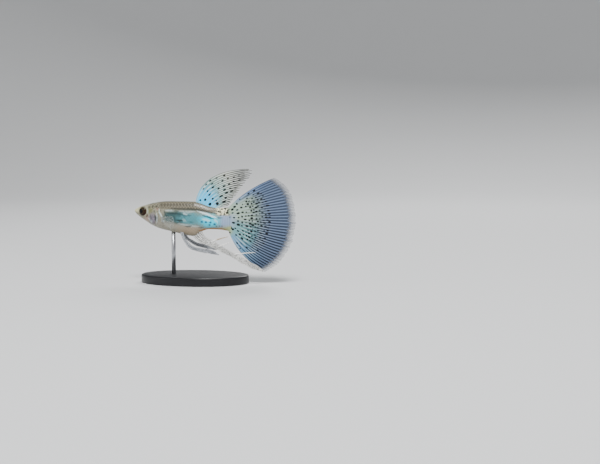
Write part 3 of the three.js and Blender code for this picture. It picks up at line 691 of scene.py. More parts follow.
# The black curls on the stalk are cut from a smooth field here, which keeps their edges sharp.
curl_edge = add_node(tree, "MapRange", SOFT_STEP | {"From Min": 0.47, "From Max": 0.54}, {"Value": "curls"})
ink_curls = add_node(tree, "Math", {"operation": "MULTIPLY"}, {0: curl_edge, 1: "curls_here"})
SKIN_PAINTS = (
    ("pale_belly", "#a09c8c"),
    ("peach_belly", "#b09070"),
    ("olive_cheek", "#77764f"),
    ("cheek", "#7c7480"),
    ("rosy", "#b08f80"),
    ("snout", "#c4c198"),
    ("teal_flank", "#3a5c5e"),
    ("cyan_flank", "#4f949e"),
    ("lavender_stalk", "#97abc8"),
    ("electric_flank", "#10e0ff"),
    ("olive_back", "#756f5e"),
    ("cream_stalk", "#e0ddbc"),
    ("tail_green", "#93b09a"),
    ("gold_root", "#a3ad70"),
    ("orange_line", "#b0762e"),
    ("stalk_bars", "#66789a"),
    # Pale pearl strokes, with the painted highlight along the back's crest.
    ("pearl_streaks_and_ridge_highlight", "#d6eaec"),
    ("blue_dots", "#0c4470"),
    ("brown_tear", "#45291e"),
    ("shade", "#1d2b2c"),
    ("back_dots", "#2c2a1c"),
    (scale_net, "#2c281a"),
    ("ticks", "#07080b"),
    (ink_curls, "#07080b"),
)
painted = paint_layers(tree, ground.outputs[2], SKIN_PAINTS)
metallic = add_node(tree, "Math", {"operation": "MULTIPLY", "use_clamp": True, 1: 0.4}, {0: "shine"})
bump = add_node(tree, "Bump", {"Strength": 0.15, "Distance": 0.04 * MM}, {"Height": grain})
roughness = add_node(tree, "MapRange", {"To Min": 0.34, "To Max": 0.52}, {"Value": speckle})
set_node(
    tree,
    shader,
    {"Specular IOR Level": 0.35, "Coat Weight": 0.3, "Coat Roughness": 0.14, "IOR": 1.4},
    {"Base Color": painted, "Metallic": metallic, "Roughness": roughness, "Normal": bump},
)
print("skin finish has", len(tree.nodes), "nodes")

# %% Build the skin
SKIN_MESH = (200, 420)  # points round the body and rings along it
HEAD_SHARE = 0.42  # share of the rings in front of the gill seam, where the forms are small
HEAD_CROWDING = 1.3  # how much closer the rings lie at the snout
NUDGE = 0.01  # a small step to either side of a point, to find which way a surface runs
SKIN_END = BODY_LENGTH + FLESHY_END

bm = bmesh.new()
points, share, turn = closed_tube(bm, *SKIN_MESH)
head_end = GILL_SEAM + 0.6
head_ring = head_end * (share / HEAD_SHARE) ** HEAD_CROWDING
body_ring = mix(head_end, SKIN_END, (share - HEAD_SHARE) / (1 - HEAD_SHARE))
ring = np.where(share < HEAD_SHARE, head_ring, body_ring)
flat = skin_point(ring, turn)
inside = np.clip(ring, NUDGE * 2, SKIN_END - NUDGE * 2)
down_body = skin_point(inside + NUDGE, turn) - skin_point(inside - NUDGE, turn)
round_body = skin_point(inside, turn + NUDGE) - skin_point(inside, turn - NUDGE)
normal = np.cross(round_body, down_body)
normal = normal / np.maximum(np.linalg.norm(normal, axis=1, keepdims=True), 1e-9)
core = np.stack([flat[:, 0] + 0.3, np.zeros(len(flat)), station("level", flat[:, 0])], axis=1)
normal = normal * np.sign(np.sum(normal * (flat - core), axis=1, keepdims=True))
edge = soft_scale_edge(*scale_grid(ring, turn))
relief = skin_relief(ring, turn, flat, edge)
relief = np.where((ring < NUDGE * 2) | (ring > SKIN_END - NUDGE * 2), 0, relief)
move_to(points, flat + normal * relief[:, None])
marks = clipped(skin_markings(ring, turn, flat, edge))
finish_piece(bm, "guppy_skin", skin_finish, ("head", "torso", "tail_stalk"), points, marks)

# %% [markdown]
# ## Eyes
# A guppy's eye is a flattened ball with a large black pupil and a thin iris of dark gold. Each eye is one
# ball with its pupil a little sunk, its colours come from the distance to the pupil's middle, and a thin
# clear coat makes it look wet.

# %% Eye finish
# The eye sees a glossy black disc in a brown ring. The flecks of the iris are 0.11 mm, 9000 to the metre.
eye_finish, tree, shader = new_material("wet_eye")
place = add_node(tree, "TexCoord").outputs["Object"]
flecks = add_node(tree, "TexNoise", {"Scale": 9000.0, "Detail": 2.0}, {"Vector": place})
dull, bright = linear("#120e08"), linear("#30271a")
iris = add_node(tree, "Mix", {"data_type": "RGBA", 6: dull, 7: bright}, {0: flecks})
EYE_PAINTS = (
    ("iris_rust", "#331a12"),
    ("iris_rim", "#8d8a70"),
    ("iris_ring", "#57492f"),
    ("pupil", "#010102"),
)
painted = paint_layers(tree, iris.outputs[2], EYE_PAINTS)
set_node(tree, shader, {"Roughness": 0.3, "Specular IOR Level": 0.08}, {"Base Color": painted})
set_node(tree, shader, {"Coat Weight": 0.3, "Coat Roughness": 0.02, "Coat IOR": 1.34})
print("eye finish has", len(tree.nodes), "nodes")

# %% Build the eyes
EYE_MESH = (64, 64)
PUPIL = 0.58  # share of the eye's radius
PUPIL_SUNK = 0.05  # share of the eye's depth
LOOK = (-0.3, 0.05)  # the pupil's middle lies forward of the eye's own and a little above it
RUST_FROM = math.radians(-35)  # the side of the iris that is rusty
for name, side in SIDES:
    bm = bmesh.new()
    points, share, turn = closed_tube(bm, *EYE_MESH)
    polar = share * math.pi
    out = np.sin(polar)
    from_pupil = np.hypot(out * np.cos(turn) - LOOK[0], out * np.sin(turn) - LOOK[1])
    facing = np.cos(polar) > 0
    sunk = 1 - PUPIL_SUNK * (1 - smooth(PUPIL - 0.04, PUPIL + 0.04, from_pupil)) * facing
    ahead = EYE["radius"] * out * np.cos(turn)
    depth = side * EYE["depth"] * np.cos(polar) * sunk
    angle = side * EYE["turned_forward"]
    x = ahead * math.cos(angle) - depth * math.sin(angle)
    y = ahead * math.sin(angle) + depth * math.cos(angle)
    centre = np.array([EYE["along"], side * EYE["aside"], EYE["up"]])
    move_to(points, np.stack([x, y, EYE["radius"] * out * np.sin(turn)], axis=1) + centre)
    marks = {
        "pupil": facing * (1 - smooth(PUPIL - 0.03, PUPIL + 0.03, from_pupil)),
        "iris_ring": facing * 0.8 * hill(from_pupil - PUPIL - 0.06, 0.04),
        "iris_rim": facing * 0.55 * smooth(0.88, 0.98, out),
        "iris_rust": 0.8 * smooth(0.1, 0.9, out * np.cos(turn - RUST_FROM)),
    }
    finish_piece(bm, f"guppy_eye_{name}", eye_finish, (f"eye_{name}",), points, clipped(marks))

# %% [markdown]
# ## Fins
# A fin is a thin skin over bony rays that fork on their way to the margin. Each fin is a grid with s
# across its rays and r along them. The rays are a wave in s that doubles where they fork, and doubles
# again near the margin. The same wave gives the thickness, the colour and the fine fringe, so that they
# always lie on each other.

# %% Rays and thickness
FORKS = ((2, 0.38, 0.58), (4, 0.86, 0.98))  # how many rays each becomes, and where along it that happens
TAIL_RAYS, DORSAL_RAYS, ANAL_RAYS, PELVIC_RAYS, PECTORAL_RAYS = 18, 9, 5, 2, 5
MARGIN_SHARE = 0.45  # how thick a fin still is at its margin
# Points across and along each fin, at least 3 across to each of its finest rays.
FIN_MESH = {"tail": (420, 98), "back": (256, 120), "anal": (64, 260), "pelvic": (36, 180), "side": (100, 50)}


def ray_ridge(s, r, rays):
    ridge = 0.5 - 0.5 * np.cos(2 * math.pi * rays * s)
    for branches, start, end in FORKS:
        finer = 0.5 - 0.5 * np.cos(2 * math.pi * rays * branches * s)
        ridge = mix(ridge, finer, smooth(start, end, r))
    return ridge


def vary(seed):
    """An even spread from -1 to 1 that is always the same for the same number."""
    wave = np.sin(seed * 127.1 + 311.7) * 43758.5453
    return 2 * (wave - np.floor(wave)) - 1


def fin_thickness(s, r, rays, root=0.5, membrane=0.16, rise=0.08):
    plain = mix(root, membrane, smooth(0, 0.22, r))
    ridges = rise * (1 - 0.6 * r) * ray_ridge(s, r, rays) ** 3
    return (plain + ridges) * mix(1, MARGIN_SHARE, smooth(0.7, 1, r))


def bent(root, guide, tip, r):
    return root * (1 - r) ** 2 + guide * 2 * r * (1 - r) + tip * r * r


def curve_through(knots, share):
    """A smooth curve through the knots, with equal shares between neighbours, and the way it runs."""
    knots = np.asarray(knots, float)
    padded = np.vstack([2 * knots[0] - knots[1], knots, 2 * knots[-1] - knots[-2]])
    place = np.clip(share, 0, 1) * (len(knots) - 1)
    i = np.minimum(place.astype(int), len(knots) - 2)
    t = (place - i)[:, None]
    a, b, c, d = (padded[i + k] for k in range(4))
    steady, hook = 2 * a - 5 * b + 4 * c - d, 3 * b - a - 3 * c + d
    point = 0.5 * (2 * b + (c - a) * t + steady * t**2 + hook * t**3)
    ahead = 0.5 * ((c - a) + 2 * steady * t + 3 * hook * t**2)
    return point, ahead / np.linalg.norm(ahead, axis=1, keepdims=True)


def fringe(s, rays):
    """How much shorter the fin is between its finest rays, and from ray to ray, as a share of it."""
    finest = s * rays * 4
    fine = 0.5 + 0.5 * np.cos(2 * math.pi * finest)
    coarse = 0.5 + 0.5 * np.cos(math.pi * finest)
    ray = np.floor(finest)
    uneven = mix(vary(ray + 40), vary(ray + 41), smooth(0, 1, finest % 1))
    return 0.007 * fine + 0.008 * coarse + 0.01 * (1 + uneven)


print("a fin is", fin_thickness(0.0, 0.5, 8).round(2), "mm thick between its rays")

# %% [markdown]
# ## Finish of the fins
# The living membrane is thin and clear, and it carries pigment: chalky blue or cream at its base, black
# spots, and slate between the outer rays. The model's fins are cast in tinted clear resin, so they are a
# little see-through, most of all at the margin. The ray lines are worked out in the shader from s and r,
# which keeps them sharp.

# %% Fin finish
# From where to where on the wave of the rays each kind of line grows.
RAY_MASKS = {"pale_rays": (0.5, 0.98), "slate_lines": (0.8, 0.2), "white_rays": (0.7, 1.0)}
SPOT_EDGE = {"From Min": 1.25, "From Max": 0.85}  # in the spot's own radii
WHITE_RAY, SPOT_BLACK = "#d6dedf", "#08090c"
RAY_BODY = 0.8  # how much of the see-through the rays take away


def ray_lines(tree, rays):
    """The wave of the rays in shader nodes, from 0 between rays to 1 on them."""

    def wave(branches):
        turns = 2 * math.pi * rays * branches
        angle = add_node(tree, "Math", {"operation": "MULTIPLY", 1: turns}, {0: "across"})
        cosine = add_node(tree, "Math", {"operation": "COSINE"}, {0: angle})
        return add_node(tree, "Math", {"operation": "MULTIPLY_ADD", 1: -0.5, 2: 0.5}, {0: cosine})

    ridge = wave(1)
    for branches, start, end in FORKS:
        fork = SOFT_STEP | {"From Min": start, "From Max": end}
        forked = add_node(tree, "MapRange", fork, {"Value": "along"})
        ridge = add_node(tree, "Mix", {"data_type": "FLOAT"}, {0: forked, 2: ridge, 3: wave(branches)})
    return ridge


def fin_finish(name, rays, membrane, layers, see_through, ray_colour, gap_colour):
    """A fin's material. Its mottling is 0.9 mm, which is a noise scale of 1100 to the metre."""
    material, tree, shader = new_material(name)
    place = add_node(tree, "TexCoord").outputs["Object"]
    mottling = add_node(tree, "TexNoise", {"Scale": 1100.0, "Detail": 4.0}, {"Vector": place})
    dull, bright = (linear(colour) for colour in membrane)
    base = add_node(tree, "Mix", {"data_type": "RGBA", 6: dull, 7: bright}, {0: mottling})
    ridge = ray_lines(tree, rays)
    masks = {}
    for strength, (low, high) in RAY_MASKS.items():
        line = add_node(tree, "MapRange", SOFT_STEP | {"From Min": low, "From Max": high}, {"Value": ridge})
        masks[strength] = add_node(tree, "Math", {"operation": "MULTIPLY"}, {0: line, 1: strength})
    spot = add_node(tree, "MapRange", SOFT_STEP | SPOT_EDGE, {"Value": "spot_distance"})
    lines = (
        (masks["pale_rays"], ray_colour),
        (masks["slate_lines"], gap_colour),
        (masks["white_rays"], WHITE_RAY),
        (spot, SPOT_BLACK),
    )
    painted = paint_layers(tree, base.outputs[2], layers + lines)
    clear = add_node(tree, "Math", {"operation": "MULTIPLY", 1: see_through}, {0: "clear"})
    pale = masks["pale_rays"]
    thinned = add_node(tree, "Math", {"operation": "MULTIPLY_ADD", 1: -RAY_BODY, 2: 1.0}, {0: pale})
    missing = add_node(tree, "Math", {"operation": "MULTIPLY"}, {0: clear, 1: thinned})
    alpha = add_node(tree, "Math", {"operation": "SUBTRACT", "use_clamp": True, 0: 1.0}, {1: missing})
    bump = add_node(tree, "Bump", {"Strength": 0.25, "Distance": 0.04 * MM}, {"Height": mottling})
    set_node(
        tree,
        shader,
        {"Roughness": 0.5, "Specular IOR Level": 0.3, "Coat Weight": 0.1, "Coat Roughness": 0.2, "IOR": 1.4},
        {"Base Color": painted, "Alpha": alpha, "Normal": bump},
    )
    print(name, "has", len(tree.nodes), "nodes")
    return material


# %% The five fin finishes
# The tail looks like smoked blue glass with chalky paint at its base.
tail_finish = fin_finish(
    "tinted_tail_membrane",
    TAIL_RAYS,
    membrane=("#3d4a60", "#56657e"),
    layers=(
        ("green_base", "#a3b8a5"),
        ("turquoise_base", "#6aa2a2"),
        ("blue_front", "#6a9cc0"),
        ("smoky_edge", "#5f7fae"),
        ("lavender_root", "#9fb0c0"),
        ("olive_root", "#a5b083"),
        ("dark_margin", "#4a4f58"),
    ),
    see_through=0.85,
    ray_colour="#687c9a",
    gap_colour="#101722",
)
# The back fin looks chalky, with a bright blue wash at its base and a dusky tip.
dorsal_finish = fin_finish(
    "tinted_back_fin_membrane",
    DORSAL_RAYS,
    membrane=("#838478", "#a5a696"),
    layers=(("mint_rear", "#7fb6b4"), ("blue_base", "#38c8ff"), ("dusky_tip", "#4f4f54")),
    see_through=0.35,
    ray_colour="#dfe2d8",
    gap_colour="#1a1f1f",
)
# The ribbons look milky, with dark flecks and one amber ray.
anal_finish = fin_finish(
    "milky_anal_fin_membrane",
    ANAL_RAYS,
    membrane=("#b9b9b5", "#dcdcd8"),
    layers=(("mottle", "#1f1d1c"), ("amber_ray", "#a98a60")),
    see_through=0.3,
    ray_colour="#f4f4f0",
    gap_colour="#4a4948",
)
pelvic_finish = fin_finish(
    "milky_pelvic_fin_membrane",
    PELVIC_RAYS,
    membrane=("#6f7378", "#989ca3"),
    layers=(("mottle", "#26272a"),),
    see_through=0.35,
    ray_colour="#d3d7dc",
    gap_colour="#2c2d30",
)
# The side fins look like bare clear film with faint rays.
side_fin_finish = fin_finish(
    "clear_side_fin_membrane",
    PECTORAL_RAYS,
    membrane=("#8f9490", "#a5aaa6"),
    layers=(),
    see_through=0.93,
    ray_colour="#b5bab6",
    gap_colour="#8f9490",
)

# %% Fin helpers
NO_SPOT = 3.0  # a distance that is past the edge of any spot


def fin_marks(s, r, **marks):
    """A fin's marks, with nought all over for those that every fin's finish reads and this fin lacks."""
    given = {"across": s, "along": r, "spot_distance": np.full_like(s, NO_SPOT)}
    for name in ("pale_rays", "white_rays", "slate_lines", "clear"):
        given[name] = np.zeros_like(s)
    return given | marks


def fan_sheet(bm, middle_at, rays, columns, rows):
    """A fan-like fin. Gives its points, s, r, its middle surface and the rays' heading."""
    points, s, r, face = thin_sheet(bm, columns, rows)
    middle = middle_at(s, r)
    r_ahead = np.minimum(r + NUDGE, 1.0)
    heading = middle_at(s, r_ahead) - middle_at(s, r_ahead - NUDGE)
    heading = heading / np.maximum(np.linalg.norm(heading, axis=1, keepdims=True), 1e-9)
    solid = middle.copy()
    solid[:, 1] += face * fin_thickness(s, r, rays) / 2
    move_to(points, solid)
    return points, s, r, middle, heading


def scattered(middle_at, tries, gap_at, allowed_at, seed):
    """Seeded places on a fin, in mm, each farther from the others than the gap wanted there."""
    chance = np.random.default_rng(seed)
    s, r = chance.random(tries), np.sqrt(chance.random(tries))
    allowed = allowed_at(s, r)
    s, r = s[allowed], r[allowed]
    places = middle_at(s, r)
    chosen = []
    for i, (place, gap) in enumerate(zip(places, gap_at(s, r))):
        if all(np.linalg.norm(place - places[j]) > gap for j in chosen):
            chosen.append(i)
    return places[chosen], r[chosen]


def spot_distance(points, places, sizes, lengths, heading):
    """Distance to the nearest spot in its own radii. Each spot is so many times as long along the rays."""
    nearest = np.full(len(points), NO_SPOT)
    for place, size, long in zip(places, sizes, lengths):
        near = np.abs(points - place)[:, [0, 2]].max(axis=1) < size * long * NO_SPOT
        off = (points[near] - place) * (1, 0, 1)
        along = np.sum(off * heading[near], axis=1)
        aside = np.sqrt(np.maximum(0, off[:, 0] ** 2 + off[:, 2] ** 2 - along**2))
        nearest[near] = np.minimum(nearest[near], np.hypot(along / long, aside) / size)
    return nearest * (1 + 0.13 * cloud(points[:, 0], points[:, 2], 1.1))


print("marks that every fin has:", len(fin_marks(np.zeros(1), np.zeros(1))))

# %% [markdown]
# ## Tail fin
# The fan spreads from the end of the body. Its rays start side by side, bow outwards and end on a rounded
# margin with a fine fringe. Spots are scattered by trying seeded random places and keeping those that are
# far enough from the ones before, which spaces them as evenly as on the real fin. A point of the fin
# stores how far it is from the nearest spot, and the shader draws the round edge from that.

# %% Tail fin shape
TAIL = {"top": 0.9, "bottom": -5.6, "hub": (28.9, -1.9), "radius": 19.3, "high": 42.5, "low": -58}
TAIL_ROOT_SHARE = 0.97  # of the body's height, so that the root stays inside the flesh
TAIL_CORNERS = (0.12, 0.05)  # how much shorter the top ray and the bottom ray are
TAIL_BULGE = (1.8, -3.2)  # how far the upper and the lower edge bow outwards, in mm
TAIL_SWAY = 0.8  # how far the margin waves to each side
MARGIN_OUT = 1.008  # the render's rays end a little past the solid's margin, and its fringe inside it


def tail_middle(s, r):
    root_up = mix(TAIL["top"], TAIL["bottom"], s) * TAIL_ROOT_SHARE
    root = np.stack([np.full_like(s, BODY_LENGTH - 0.2), np.zeros_like(s), root_up], axis=1)
    angle = np.radians(mix(TAIL["high"], TAIL["low"], s))
    corners = 1 - TAIL_CORNERS[0] * (1 - s) ** 9 - TAIL_CORNERS[1] * s**9
    edge_fade = np.sin(math.pi / 2 * np.minimum(1, np.minimum(s, 1 - s) * 12))
    radius = TAIL["radius"] * corners * (MARGIN_OUT - fringe(s, TAIL_RAYS) * edge_fade)
    hub = np.array([TAIL["hub"][0], 0, TAIL["hub"][1]])
    tip = hub + np.stack([radius * np.cos(angle), np.zeros_like(s), radius * np.sin(angle)], axis=1)
    chord = tip - root
    across = np.stack([-chord[:, 2], np.zeros_like(s), chord[:, 0]], axis=1)
    across = across / np.linalg.norm(across, axis=1, keepdims=True)
    guide = root + 0.45 * chord + across * mix(*TAIL_BULGE, s)[:, None]
    point = bent(root, guide, tip, r[:, None])
    point[:, 1] = TAIL_SWAY * r * r * np.sin(2 * math.pi * (0.9 * s + 0.35))
    return point


# %% Spots of the tail fin
SPOT_TRIES, SPOT_SEED = 16000, 7
ROOT_SPOT, ROOT_SPOT_SIZE = (29.5, 0, -5.25), 0.33  # the one larger spot at the lower root


def tail_spot_gap(s, r):
    near_edges = 0.9 * smooth(0.72, 0.92, s) + 0.7 * (1 - smooth(0.02, 0.14, s))
    return mix(1.0, 0.78, smooth(0.2, 0.45, r)) + near_edges


def tail_spot_allowed(s, r):
    return (r > 0.06) & (r < 0.64) & (s > 0.03) & (s < 0.97)


spot_places, spot_r = scattered(tail_middle, SPOT_TRIES, tail_spot_gap, tail_spot_allowed, SPOT_SEED)
spot_number = np.arange(len(spot_r))
spot_sizes = mix(0.25, 0.18, smooth(0.3, 0.6, spot_r)) * (1 + 0.25 * vary(spot_number))
spot_lengths = 1.3 + 0.5 * vary(spot_number + 0.5) + 0.9 * smooth(0.4, 0.62, spot_r)
tail_spots = (
    np.vstack([spot_places, ROOT_SPOT]),
    np.append(spot_sizes, ROOT_SPOT_SIZE),
    np.append(spot_lengths, 1),
)
print("tail spots:", len(spot_places))

# %% Build the tail fin
# Ranges of s go from the upper edge to the lower one, and ranges of r from the root to the margin.
bm = bmesh.new()
points, s, r, middle, heading = fan_sheet(bm, tail_middle, TAIL_RAYS, *FIN_MESH["tail"])
x, z = middle[:, 0], middle[:, 2]
outer = smooth(0.4, 0.62, r + 0.03 * cloud(x, z, 2.0))
low_side, top_side = smooth(0.3, 0.75, s), 1 - smooth(0.0, 0.3, s)
blotch = 0.5 + 0.5 * cloud(x, z, 3.0)
near_root = 1 - smooth(0.02, 0.2, r + 0.02 * blotch)
lower_half = smooth(0.42, 0.66, s)
outer_slate = outer * mix(0.6, 0.9, low_side) * (1 - 0.5 * smooth(0.88, 1, r))
front_slate = 0.3 * smooth(0.78, 0.95, s) * smooth(0.3, 0.6, r)
inner_slate = front_slate + (0.4 + 0.3 * blotch) * smooth(0.15, 0.4, r)
outer_rays = mix(0.4, 0.95, outer) * (1 - 0.3 * top_side - 0.35 * smooth(0.6, 0.9, s))
marks = fin_marks(
    s,
    r,
    green_base=(1 - smooth(0.34, 0.68, r + 0.04 * blotch)) * (1 - lower_half),
    turquoise_base=(1 - smooth(0.34, 0.66, r + 0.04 * blotch)) * lower_half,
    blue_front=smooth(0.76, 0.95, s) * between(r, (0.05, 0.2), (0.5, 0.85)),
    smoky_edge=0.8 * (1 - smooth(0.0, 0.14, s)) * between(r, (0.1, 0.25), (0.5, 0.85)),
    lavender_root=near_root * between(s, (0.25, 0.4), (0.7, 0.82)),
    olive_root=near_root * smooth(0.74, 0.86, s),
    dark_margin=0.8 * smooth(0.87, 0.98, r),
    pale_rays=outer_rays * (1 - 0.7 * smooth(0.89, 0.99, r)) * smooth(0.02, 0.12, r),
    white_rays=0.5 * between(r, (0.1, 0.3), (0.45, 0.75)) * mix(0.35, 1.0, low_side),
    slate_lines=np.clip(outer_slate + inner_slate * (1 - outer), 0, 1),
    spot_distance=spot_distance(middle, *tail_spots, heading),
    clear=smooth(0.86, 0.99, r),
)
finish_piece(bm, "guppy_tail_fin", tail_finish, ("tail_fin",), points, marks)

# %% [markdown]
# ## Back fin
# The back fin rises steeply, sweeps over the tail and ends in a torn-looking rear edge, because its rays
# run out past the membrane. Big round spots sit at its base and short dashes follow the rays.

# %% Back fin shape
DORSAL = {"front": 18.4, "back": 24.5, "sway": -0.7, "guide_front": (19.9, 11.8), "guide_back": (26.5, 1.4)}
DORSAL_EDGE = ((34.3, 12.2), (35.0, 10.8), (33.2, 8.4), (31.6, 5.9), (29.9, 4.0), (28.3, 1.55))

# Places (along, up) in mm, set one by one after the photo.
BASE_SPOTS = ((19.8, 3.05), (21.3, 3.2), (23.5, 3.5), (22.7, 1.95), (24.9, 2.1))
BASE_SPOT_SIZES = (0.27, 0.33, 0.3, 0.4, 0.42)
DASHES = (
    *((22.6, 4.7), (26.0, 4.3), (27.7, 5.3), (27.4, 3.9), (26.9, 2.7), (25.3, 6.5), (27.0, 7.2)),
    *((28.1, 9.4), (26.5, 8.7), (28.5, 7.8), (29.8, 8.5), (29.9, 9.8), (25.2, 8.0), (23.6, 6.8)),
    *((23.3, 7.8), (22.8, 8.7), (20.8, 6.4), (28.8, 6.6), (27.1, 6.1), (30.2, 6.7), (24.7, 9.5)),
    *((27.0, 10.3), (29.2, 5.8), (25.2, 5.2), (31.3, 10.4), (31.6, 9.0), (22.0, 5.7), (21.6, 7.6)),
    (24.6, 3.0),
)
DASH_SIZE = 0.2
BLUE_WASH = ((21.6, 3.0), (3.1, 3.3), 0.7)  # middle, reach and softness, as on the skin
MINT_WASH = ((23.6, 5.0), (4.6, 4.6), 0.6)


def upright(places):
    """Places (along, up) as points in the fish's middle plane."""
    return np.array([(along, 0, up) for along, up in places])


def dorsal_middle(s, r):
    root_along = mix(DORSAL["front"], DORSAL["back"], s)
    root = np.stack([root_along, np.zeros_like(s), back_at(root_along) - 0.25], axis=1)
    guide = mix(*upright((DORSAL["guide_front"], DORSAL["guide_back"])), s[:, None] ** 0.85)
    tip, _ = curve_through(upright(DORSAL_EDGE), s)
    inner = smooth(0.02, 0.1, s)
    torn = 0.5 + 0.5 * np.cos(2 * math.pi * 2 * DORSAL_RAYS * s)
    frayed = 0.06 - 0.06 * torn**2 - 2 * fringe(s, DORSAL_RAYS) - 0.02 * (1 + vary(np.round(s * 16)))
    point = bent(root, guide, tip, (r * (1 + inner * frayed))[:, None])
    point[:, 1] = DORSAL["sway"] * r * r * (0.3 + 0.7 * s)
    return point


print("back fin has", len(BASE_SPOTS), "spots and", len(DASHES), "dashes")

# %% Build the back fin
# Ranges of s go from the front edge to the rear one, and ranges of r from the root to the margin.
bm = bmesh.new()
points, s, r, middle, heading = fan_sheet(bm, dorsal_middle, DORSAL_RAYS, *FIN_MESH["back"])
dash_number = np.arange(len(DASHES))
dash_sizes = DASH_SIZE * (1 + 0.25 * vary(dash_number + 5.0))
dash_lengths = 1.5 + 0.7 * (1 + vary(dash_number + 9.0))
dorsal_spots = (
    upright(BASE_SPOTS + DASHES),
    np.append(BASE_SPOT_SIZES, dash_sizes),
    np.append(np.full(len(BASE_SPOTS), 1.15), dash_lengths),
)
x, z = middle[:, 0], middle[:, 2]
rear_low = smooth(0.55, 0.85, s)
blue_base = patch(x, z, *BLUE_WASH)
dusky_tip = 0.85 * smooth(0.7, 0.92, r) * (1 - 0.4 * smooth(0.3, 0.7, s))
inner_rays = (0.55 + 0.35 * smooth(0.4, 0.8, r)) * (1 - 0.7 * blue_base)
base_slate = 0.4 * smooth(0.1, 0.4, r) * (1 - 0.7 * blue_base)
edge_slate = (0.4 + 0.4 * rear_low) * smooth(0.74 - 0.4 * rear_low, 0.95, r)
marks = fin_marks(
    s,
    r,
    blue_base=blue_base,
    mint_rear=0.75 * patch(x, z, *MINT_WASH),
    dusky_tip=dusky_tip,
    white_rays=0.6 * smooth(0.1, 0.4, r) * (1 - 0.8 * blue_base) * (1 - 0.8 * dusky_tip),
    pale_rays=np.maximum(inner_rays, 1 - smooth(0.01, 0.04, s)) * (1 - 0.55 * dusky_tip),
    slate_lines=np.clip(base_slate + edge_slate, 0, 1),
    spot_distance=spot_distance(middle * (1, 0, 1), *dorsal_spots, heading),
    clear=smooth(0.93, 1.0, r),
)
finish_piece(bm, "guppy_back_fin", dorsal_finish, ("dorsal_fin",), points, marks)

# %% [markdown]
# ## Ribbon fins
# This breed's anal and pelvic fins grow into long ribbons. A ribbon is the same kind of sheet, laid along
# a curve with its width across it. Three free rays leave the upper edge of the anal fin.

# %% Ribbon shape
# A ribbon's width goes from the first to the second value over a range of its length, and then tapers to a
# share of that from another place on.
ANAL = {"root": (17.4, 20.3), "widths": (2.5, 1.5), "change": (0, 0.45), "tip": (0.3, 0.86)}
ANAL_PATH = (
    *((18.7, 0, -7.7), (21.6, -0.1, -8.9), (25.5, -0.5, -10.7)),
    *((30.6, -1.2, -13.1), (35.0, -1.8, -15.3), (38.9, -2.1, -17.0)),
)
ANAL_FREE_RAYS = (
    ((22.6, -0.15, -9.2), (25.6, -0.7, -7.9), (28.4, -1.1, -7.35), 0.28),
    ((25.0, -0.45, -10.4), (27.4, -0.9, -9.6), (29.4, -1.3, -8.8), 0.22),
    ((29.6, -1.1, -12.5), (33.0, -1.6, -11.9), (36.6, -1.9, -11.7), 0.18),
)
PELVIC = {"root": (13.9, 14.9), "widths": (0.8, 1.15), "change": (0.1, 0.7), "tip": (0.25, 0.84)}
PELVIC_ASIDE = 0.75
PELVIC_PATHS = {
    "left": (
        *((14.5, -0.8, -7.2), (15.7, -1.3, -8.9), (17.3, -1.9, -10.4)),
        *((20.0, -2.3, -11.2), (23.2, -2.5, -11.6), (26.0, -2.6, -12.5)),
    ),
    "right": (
        *((14.5, 0.8, -7.2), (15.9, 1.3, -8.6), (17.8, 1.8, -9.8)),
        *((20.2, 2.2, -10.5), (22.6, 2.5, -10.9), (24.6, 2.7, -11.6)),
    ),
}
ROOT_SUNK = 0.25  # how deep a ribbon's root lies in the belly


def ribbon_middle(fin, path, aside, s, r):
    """A ribbon's middle surface: its root lies along the belly, and the rest streams along the path."""
    root_along = mix(*fin["root"], s)
    root = np.stack([root_along, np.full_like(s, aside), belly_at(root_along, aside) + ROOT_SUNK], axis=1)
    tip_share, tip_start = fin["tip"]
    width = mix(*fin["widths"], smooth(*fin["change"], r)) * mix(1, tip_share, smooth(tip_start, 1, r))
    centre, ahead = curve_through(path, r)
    across = np.stack([-ahead[:, 2], np.zeros_like(s), ahead[:, 0]], axis=1)
    across = across / np.linalg.norm(across, axis=1, keepdims=True)
    uneven = 1 + 0.07 * np.sin(19 * r + 2 * s) + 0.05 * np.sin(47 * r + 4 * s) * smooth(0.3, 0.6, r)
    streaming = centre + across * ((s - 0.5) * width * uneven)[:, None]
    return mix(root, streaming, smooth(0, 0.16, r)[:, None])


def build_ribbon(bm, fin, path, aside, rays, columns, rows):
    points, s, r, face = thin_sheet(bm, columns, rows)
    solid = ribbon_middle(fin, path, aside, s, r)
    ripple = (0.09 * np.sin(17 * r + 2.5 * s) + 0.05 * np.sin(38 * r - 3 * s)) * smooth(0.15, 0.4, r)
    thin = fin_thickness(s, 0.3 * r, rays, root=0.45, membrane=0.2, rise=0.05)
    thin = thin * mix(1, 0.35, smooth(0.8, 1, r))
    solid[:, 1] += face * thin / 2 + ripple
    move_to(points, solid)
    mottle = 0.5 + 0.5 * cloud(30 * r, 2.5 * s, 1.9)
    fine = 0.5 + 0.5 * cloud(26 * r, 6 * s, 1.3)
    rim_here = 1 - smooth(0.05, 0.16, np.minimum(s, 1 - s))
    s_bent = s + 0.035 * np.sin(9 * r + 3) * np.sin(math.pi * s)
    return points, s_bent, r, {
        "pale_rays": np.maximum(0.9 - 0.4 * fine, rim_here),
        "slate_lines": 0.15 + 0.35 * mottle,
        "mottle": np.clip(0.95 * smooth(0.6, 0.78, fine) * (1 - 0.8 * rim_here), 0, 1),
        "amber_ray": np.zeros_like(s),
        "clear": np.clip(0.15 + 0.3 * smooth(0.5, 1, r) + 0.5 * smooth(0.93, 1, r), 0, 1),
    }


print("ribbons:", 1 + len(PELVIC_PATHS))


# %% Build the anal fin
FREE_RAY_MESH = (12, 48)


